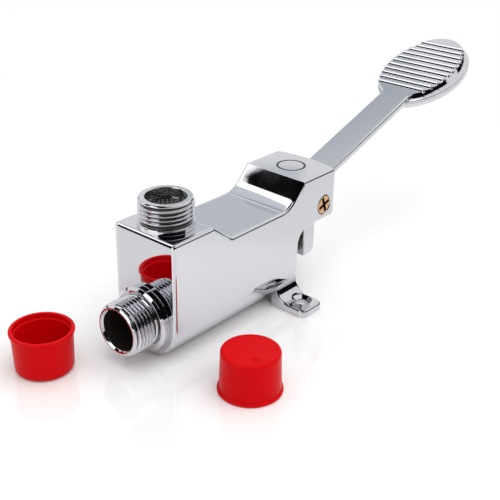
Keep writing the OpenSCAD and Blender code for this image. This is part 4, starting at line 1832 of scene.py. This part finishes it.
    def ribs(self) -> TreadRibs:
        """Gives the row of ribs about the tread's middle."""
        return TreadRibs(
            count=self.rib_count,
            pitch=self.rib_pitch,
            radius=self.rib_r,
            height=self.rib_h,
            half_w=self.pad.half_w,
            half_len=self.pad.half_len,
            first=-self.rib_shift - (self.rib_count - 1) / 2 * self.rib_pitch,
        )

    def build(self, palette: Palette) -> bpy.types.Object:
        """Makes the pedal.

        Args:
            palette: The valve's materials.

        Returns:
            The finished piece.
        """
        chrome, arm = palette[Slot.CAST_CHROME], self.datums.arm
        piece = self.plate().piece("pedal", arm, chrome)
        middle = arm @ Matrix.Translation((self.pad.middle_x, self.pad.middle_s, self.arm_top))
        join(
            piece,
            self.rim().mesh("tread_rim", arm),
            self.land().mesh("toe_land", arm),
            self.crank().mesh("crank", self.datums.at_pivot()),
            self.ribs().mesh("tread_ribs", chrome, middle),
        )
        polish(piece)
        hand_over(piece, Body.PEDAL, Slot.CAST_CHROME.value, "pedal_lever")
        return piece


@dataclass
class PivotScrew:
    """Screw with a crossed slot that the pedal turns on."""

    datums: Datums
    face: float = 15.5
    head_r: float = 3.9
    head_h: float = 2.4
    shank_r: float = 2.5
    tip: float = -12.8
    slot_half: float = 3.4
    slot_w: float = 1.5
    slot_deep: float = 1.3
    slot_turns_deg: Point2 = (20.0, 110.0)
    tip_r: float = 0.4
    head_edge_r: float = 0.35
    sides: int = 64

    def build(self, palette: Palette) -> bpy.types.Object:
        """Makes the screw.

        Args:
            palette: The valve's materials.

        Returns:
            The finished piece.
        """
        loop = rounded_loop([
            Corner(0, self.tip),
            Corner(self.shank_r, self.tip, self.tip_r),
            Corner(self.shank_r, self.face - self.head_h),
            Corner(self.head_r, self.face - self.head_h),
            Corner(self.head_r, self.face, self.head_edge_r),
            Corner(0, self.face),
        ])
        place, brass = self.datums.at_pivot(), palette[Slot.SCREW_BRASS]
        piece = turned(loop, Axis.X, self.sides).piece("cross_screw", place, brass)
        half, thin = self.slot_half, self.slot_w / 2
        corners = ((half, thin), (-half, thin), (-half, -thin), (half, -thin))
        for turn in self.slot_turns_deg:
            draft = Draft()
            c, s = math.cos(math.radians(turn)), math.sin(math.radians(turn))
            rows = [
                draft.add((x, u * c - v * s, u * s + v * c) for u, v in corners)
                for x in (self.face - self.slot_deep, self.face + OVERSHOOT)
            ]
            draft.skin(rows, ring=True)
            for row in rows:
                draft.cap(row)
            # The slot's faces take the dark finish as painted shade in the recess.
            carve(piece, draft.piece("tool", place, palette.bore), Carve.CUT)
        polish(piece)
        hand_over(piece, Body.VALVE, Slot.SCREW_BRASS.value, "pivot_screw")
        return piece


@dataclass
class ThreadCap:
    """Red push-on cap of a pipe thread."""

    node: str
    body: Body
    upside_down: bool
    gate_turn_deg: float
    end_r: float
    height: float = 16.5
    mouth_r: float = 10.5275
    wall: float = 0.8
    taper: float = 0.48
    lip_w: float = 0.65
    lip_t: float = 1.3
    end_t: float = 1.2
    gate_r: float = 1.9
    gate_deep: float = 0.4
    pip_r: float = 1.1
    pip_deep: float = 0.35
    gate_off: float = 6.9
    lip_foot_r: float = 0.25
    lip_under_r: float = 0.45
    lip_top_r: float = 0.55
    mouth_edge_r: float = 0.3
    # Catch inside the mouth: its two depths, radii and step
    catch_deep: Point2 = (2.0, 2.3)
    catch_r: Point2 = (0.2, 0.3)
    catch_in: float = 0.45
    floor_in: float = 0.2
    floor_r: float = 0.8
    gate_flare: float = 0.3
    gate_slope: float = 0.15
    gate_lift: float = 0.02
    pip_edge_r: float = 0.1
    step_deg: float = 10.0
    sides: int = 128
    gate_sides: int = 32

    def gate(self) -> Draft:
        """Draws the tool for the round mark that moulding leaves in the end."""
        bottom, slope = self.gate_deep + self.pip_deep, self.gate_slope
        loop = rounded_loop([
            Corner(0, -OVERSHOOT),
            Corner(self.gate_r + self.gate_flare, -OVERSHOOT),
            Corner(self.gate_r + slope, self.gate_lift, slope),
            Corner(self.gate_r - slope, self.gate_deep, slope),
            Corner(self.pip_r, self.gate_deep, self.pip_edge_r),
            Corner(self.pip_r - slope, bottom, self.pip_edge_r),
            Corner(0, bottom),
        ])
        turn = math.radians(self.gate_turn_deg)
        across, along = self.gate_off * math.cos(turn), self.gate_off * math.sin(turn)
        return turned(loop, Axis.Z, self.gate_sides).moved(across, along)

    def build(self, palette: Palette) -> bpy.types.Object:
        """Makes the cap where its node stands.

        Args:
            palette: The valve's materials.

        Returns:
            The finished piece.
        """
        side, top = self.mouth_r + self.wall, self.height
        foot, lip = side - self.taper, side + self.lip_w
        loop = rounded_loop([
            Corner(0, 0),
            Corner(foot, 0, self.end_r),
            Corner(side, top - self.lip_t, self.lip_foot_r),
            Corner(lip, top - self.lip_t, self.lip_under_r),
            Corner(lip, top, self.lip_top_r),
            Corner(self.mouth_r, top, self.mouth_edge_r),
            Corner(self.mouth_r, top - self.catch_deep[0], self.catch_r[0]),
            Corner(self.mouth_r - self.catch_in, top - self.catch_deep[1], self.catch_r[1]),
            Corner(foot - self.wall - self.floor_in, self.end_t, self.floor_r),
            Corner(0, self.end_t),
        ], self.step_deg)
        low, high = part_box(self.node)
        place = Matrix.Translation(((low.x + high.x) / 2, (low.y + high.y) / 2, low.z))
        if self.upside_down:
            lift = Matrix.Translation((0, 0, high.z - low.z))
            place = place @ lift @ Matrix.Rotation(math.pi, 4, "X")
        place = place @ Matrix.Scale(MM, 4)
        red = palette[Slot.RED]
        piece = turned(loop, Axis.Z, self.sides).piece(f"{self.node}_red", place, red)
        carve(piece, self.gate().piece("tool", place, red), Carve.CUT)
        polish(piece)
        hand_over(piece, self.body, Slot.RED.value, self.node)
        return piece


@dataclass
class HoodRing:
    """Plain printed ring on the top of the hood, left without any mark inside."""

    datums: Datums
    along: float = 84.4
    top: float = 36.1
    radius: float = 6.2
    line_w: float = 0.95
    thick: float = 0.012
    sides: int = 96

    def build(self, palette: Palette) -> bpy.types.Object:
        """Makes the ring.

        Args:
            palette: The valve's materials.

        Returns:
            The finished piece.
        """
        inner, outer = self.radius - self.line_w, self.radius
        low, high = self.top - self.thick, self.top + self.thick
        loop = [(inner, low), (outer, low), (outer, high), (inner, high)]
        place = self.datums.at_front(y=self.along)
        piece = turned(loop, Axis.Z, self.sides).piece("hood_ring", place, palette[Slot.RUBBER])
        hand_over(piece, Body.VALVE, Slot.RUBBER.value)
        return piece


@dataclass
class ReturnSpring:
    """Conical coil spring that closes the valve, drawn at the length of its imported solid, though
    the real one shortens as the stem moves in.
    """

    datums: Datums
    front_r: float = 8.5
    rear_r: float = 6.3
    wire_r: float = 0.6
    turns: float = 7.0
    points_per_turn: int = 32
    wire_sides: int = 12
    node: str = "return_spring"
    joint: str = "stem_slide"
    travel: float = 5.0
    end_gap: float = 0.05

    def build(self, palette: Palette) -> bpy.types.Object:
        """Makes the spring.

        Args:
            palette: The valve's materials.

        Returns:
            The finished piece.
        """
        low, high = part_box(self.node)
        free = (high.y - low.y) / MM
        tree = GeometryTree("spring_coil")
        path = tree.add(
            "GeometryNodeCurveSpiral",
            {
                "Resolution": self.points_per_turn,
                "Rotations": tree.size("Turns", self.turns),
                "Start Radius": tree.size("Front Radius", self.front_r),
                "End Radius": tree.size("Rear Radius", self.rear_r),
                "Height": tree.size("Height", free - 2 * self.wire_r),
            },
        )
        wire = tree.add(
            "GeometryNodeCurvePrimitiveCircle",
            {"Resolution": self.wire_sides, "Radius": tree.size("Wire Radius", self.wire_r)},
        )
        coil = tree.add(
            "GeometryNodeCurveToMesh", {"Curve": path, "Profile Curve": wire, "Fill Caps": True}
        )
        foot = (low.y - self.datums.front_y) / MM + self.wire_r
        place = self.datums.at_front(0, foot, 0) @ Matrix.Rotation(-math.pi / 2, 4, "X")
        piece = put("spring_coil", tree.mesh(coil, palette[Slot.STEEL], place))
        polish(piece, WIRE_CREASE_DEG)
        hand_over(piece, Body.VALVE, Slot.STEEL.value, self.node)
        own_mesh(piece)
        return piece


INNER_NODES: dict[str, Slot] = {
    "inlet_seal": Slot.RUBBER,
    "outlet_seal": Slot.RUBBER,
    "strainer_ring": Slot.STEEL,
    "seat_ring": Slot.BRASS,
    "packing_washer": Slot.BRASS,
    "gland_packing": Slot.RUBBER,
    "gland_nut": Slot.BRASS,
    "valve_stem": Slot.BRASS,
    "disc_holder": Slot.BRASS,
    "seat_washer": Slot.RUBBER,
    "stem_nut": Slot.BRASS,
    "stem_button": Slot.STEEL,
    "pivot_bush": Slot.NYLON,
}


def dress_inner_nodes(palette: Palette) -> None:
    """Gives the solids that stay in the scene their finishes."""
    for node, slot in INNER_NODES.items():
        solid = frame["nodes"][node]
        solid.data.materials.clear()
        solid.data.materials.append(palette[slot])
        log.info("%s keeps its solid in %s", node, slot.value)


# The studio


# Place near the middle of the valve that the cards hang around
SEEN_FROM: Point3 = (0.0, 0.0, 0.03)


@dataclass(frozen=True)
class Card:
    """Panel out of view that the polished metal mirrors, fading out at its edges.

    It hangs square to the line from the middle of the valve, at a bearing from +X and
    at a height above the floor, both in degrees, and its size is in degrees as well.
    """

    name: str
    bearing: float
    rise: float
    wide: float
    tall: float
    low: Colour
    high: Colour
    reach: float = 1.1
    fade: float = 0.03
    lean: float = 0.0

    def build(self) -> None:
        """Hangs the card in its place."""
        turn, tilt = math.radians(self.bearing), math.radians(self.rise)
        c, s, flat = math.cos(turn), math.sin(turn), math.cos(tilt)
        ahead = Vector((c * flat, s * flat, math.sin(tilt)))
        across = Matrix.Rotation(math.radians(self.lean), 3, ahead) @ Vector((-s, c, 0.0))
        up = ahead.cross(across)
        middle = Vector(SEEN_FROM) + ahead * self.reach
        w = across * self.reach * math.tan(math.radians(self.wide / 2))
        h = up * self.reach * math.tan(math.radians(self.tall / 2))
        data = bpy.data.meshes.new(self.name)
        corners = [middle - w - h, middle + w - h, middle + w + h, middle - w + h]
        data.from_pydata(corners, [], [(0, 1, 2, 3)])
        sheet = data.uv_layers.new(name="sheet")
        for loop, place in zip(sheet.data, ((0, 0), (1, 0), (1, 1), (0, 1))):
            loop.uv = place
        card = put(self.name, data, self._material())
        card.visible_camera = card.visible_diffuse = card.visible_shadow = False

    def _material(self) -> bpy.types.Material:
        """Makes a material that gives off the card's shades and fades at its edges."""
        made, tree = new_material(self.name)
        made.node_tree.nodes.remove(made.node_tree.nodes["Principled BSDF"])
        sheet = tree.add("ShaderNodeTexCoord").outputs["UV"]
        place = tree.add("ShaderNodeSeparateXYZ", {"Vector": sheet})
        covers = [
            tree.maths(
                "DIVIDE",
                tree.maths("PINGPONG", place.outputs[axis], 0.5),
                self.fade,
                use_clamp=True,
            )
            for axis in ("X", "Y")
        ]
        tint = tree.add(
            "ShaderNodeMix",
            {"Factor": place.outputs["Y"], "A": (*self.low, 1.0), "B": (*self.high, 1.0)},
            data_type="RGBA",
        )
        tree.end_with_mix(
            tree.maths("MULTIPLY", *covers, use_clamp=True),
            tree.add("ShaderNodeBsdfTransparent"),
            tree.add("ShaderNodeEmission", {"Color": tint}),
        )
        return made


BLACK = (0.004, 0.004, 0.005)
COOL_GREY = (0.675, 0.713, 0.746)
SOFT_GREY = (0.82, 0.84, 0.87)
ARM_LOW = (0.348, 0.411, 0.482)
ARM_HIGH = (0.755, 0.77, 0.786)
BRIGHT = (1.9, 1.9, 1.9)


@dataclass
class Studio:
    """Pale floor, white surroundings, soft light and the camera."""

    datums: Datums
    floor_half: float = 6.0
    floor_drop: float = 0.00005
    floor_colour: Colour = (0.93, 0.93, 0.93)
    floor_rough: float = 0.08
    floor_specular: float = 0.9
    floor_fade: Point2 = (0.12, 0.36)
    world_light: float = 0.8
    world_seen: float = 0.93
    lamp_place: Point3 = (0.5, 0.1, 1.2)
    lamp_side: float = 1.6
    lamp_watts: float = 11.5
    image_px: float = 500.0
    sensor_mm: float = 36.0
    focal_px: float = 934.4965
    camera_mm: Point3 = (221.927, -203.450, 178.809)
    camera_right: Point3 = (0.75738, 0.65269, 0.01925)
    camera_up: Point3 = (-0.30636, 0.32915, 0.89320)
    camera_clip: Point2 = (0.01, 50.0)
    cards: tuple[Card, ...] = (
        Card("front_left_black", 231.5, 29.0, 20.0, 60.0, BLACK, BLACK, fade=0.015, lean=10.0),
        Card("front_top_black", 262.0, 57.0, 60.0, 20.0, BLACK, BLACK),
        Card("camera_black", 308.0, 28.0, 50.0, 58.0, BLACK, BLACK),
        Card("right_black", 357.0, 18.0, 62.0, 44.0, BLACK, BLACK),
        Card("rear_black", 48.0, 8.5, 90.0, 31.0, BLACK, BLACK),
        Card("left_black", 167.0, 2.5, 80.0, 7.0, BLACK, BLACK, reach=1.3),
        Card("top_black", 310.0, 88.0, 42.0, 42.0, BLACK, BLACK, reach=1.2),
        Card("waist_grey", 133.5, 27.0, 17.0, 8.0, COOL_GREY, COOL_GREY, reach=0.5, fade=0.1),
        Card("arm_grey", 132.5, 43.5, 15.0, 14.0, ARM_LOW, ARM_HIGH, reach=0.56, fade=0.05),
        Card("sweep_grey", 161.0, 44.0, 40.0, 28.0, COOL_GREY, SOFT_GREY, reach=1.0, fade=0.05),
        Card("left_bright", 201.0, 49.0, 20.0, 18.0, BRIGHT, BRIGHT, reach=1.05, fade=0.06),
        Card("top_left_bright", 166.0, 63.0, 34.0, 14.0, BRIGHT, BRIGHT, fade=0.06),
        Card("front_bright", 261.0, 24.0, 40.0, 40.0, BRIGHT, BRIGHT, reach=1.2, fade=0.05),
    )

    def floor(self) -> None:
        """Lays the floor."""
        half = self.floor_half
        data = bpy.data.meshes.new("floor")
        corners = [(-half, -half), (half, -half), (half, half), (-half, half)]
        data.from_pydata([(x, y, -self.floor_drop) for x, y in corners], [], [(0, 1, 2, 3)])
        made, tree = new_material("pale_floor")
        shader = tree.fill(
            made.node_tree.nodes["Principled BSDF"],
            {
                "Base Color": (*self.floor_colour, 1.0),
                "Roughness": self.floor_rough,
                "Specular IOR Level": self.floor_specular,
            },
        )
        where = tree.add("ShaderNodeTexCoord").outputs["Object"]
        away = tree.add("ShaderNodeVectorMath", {0: where}, operation="LENGTH")
        near, far = self.floor_fade
        share = tree.add(
            "ShaderNodeMapRange",
            {"Value": away.outputs["Value"], "From Min": near, "From Max": far},
            interpolation_type="SMOOTHSTEP",
        )
        tree.end_with_mix(share, shader, tree.add("ShaderNodeEmission"))
        put("floor", data, made)

    def world(self) -> None:
        """Makes white surroundings, a little dimmer as light than as seen."""
        world = bpy.data.worlds.new("surroundings")
        world.use_nodes = True
        tree = NodeTree(world.node_tree)
        rays = tree.add("ShaderNodeLightPath").outputs
        seen = tree.maths("MAXIMUM", rays["Is Camera Ray"], rays["Is Glossy Ray"])
        seen = tree.maths("MAXIMUM", seen, rays["Is Transmission Ray"])
        level = tree.add(
            "ShaderNodeMapRange",
            {"Value": seen, "To Min": self.world_light, "To Max": self.world_seen},
        )
        back = world.node_tree.nodes["Background"]
        tree.fill(back, {"Color": (1.0, 1.0, 1.0, 1.0), "Strength": level})
        bpy.context.scene.world = world

    def lamp(self) -> None:
        """Hangs a square soft lamp that points at the middle of the solids."""
        data = bpy.data.lights.new("soft_top", "AREA")
        data.size, data.energy = self.lamp_side, self.lamp_watts
        lamp = bpy.data.objects.new("soft_top", data)
        lamp.location = self.lamp_place
        lamp.visible_glossy = False
        aim = (CAD_BOX[0] + CAD_BOX[1]) / 2 - Vector(self.lamp_place)
        lamp.rotation_euler = aim.to_track_quat("-Z", "Y").to_euler()
        bpy.context.scene.collection.objects.link(lamp)

    def camera(self) -> None:
        """Stands the camera where the photograph was taken from."""
        data = bpy.data.cameras.new("photo_camera")
        data.sensor_width = self.sensor_mm
        data.lens = self.focal_px / self.image_px * self.sensor_mm
        data.clip_start, data.clip_end = self.camera_clip
        camera = bpy.data.objects.new("photo_camera", data)
        right, up = Vector(self.camera_right), Vector(self.camera_up)
        back = right.cross(up)
        turn = Matrix((right, up, back)).transposed().to_4x4()
        eye = self.datums.front @ Vector(self.camera_mm)
        camera.matrix_world = Matrix.Translation(eye) @ turn
        bpy.context.scene.collection.objects.link(camera)
        bpy.context.scene.camera = camera

    def build(self) -> None:
        """Sets up the whole studio."""
        bpy.context.scene.view_settings.view_transform = "Standard"
        self.floor()
        self.world()
        self.lamp()
        for card in self.cards:
            card.build()
        self.camera()


def main() -> None:
    """Builds the studio and the valve, piece by piece."""
    logging.basicConfig(level=logging.INFO, format="%(name)s: %(message)s")
    datums = Datums()
    Studio(datums).build()
    palette = Palette()
    CastBody(datums).build(palette)
    ports = Ports(datums)
    for made in (ports.inlet, ports.outlet, ports.strainer):
        made(palette)
    PedalLever(datums).build(palette)
    PivotScrew(datums).build(palette)
    for cap in (
        ThreadCap("inlet_cap", Body.INLET_CAP, upside_down=False, gate_turn_deg=30.0, end_r=1.9),
        ThreadCap("outlet_cap", Body.OUTLET_CAP, upside_down=True, gate_turn_deg=36.0, end_r=1.0),
    ):
        cap.build(palette)
    HoodRing(datums).build(palette)
    ReturnSpring(datums).build(palette)
    dress_inner_nodes(palette)


if __name__ == "__main__":
    main()
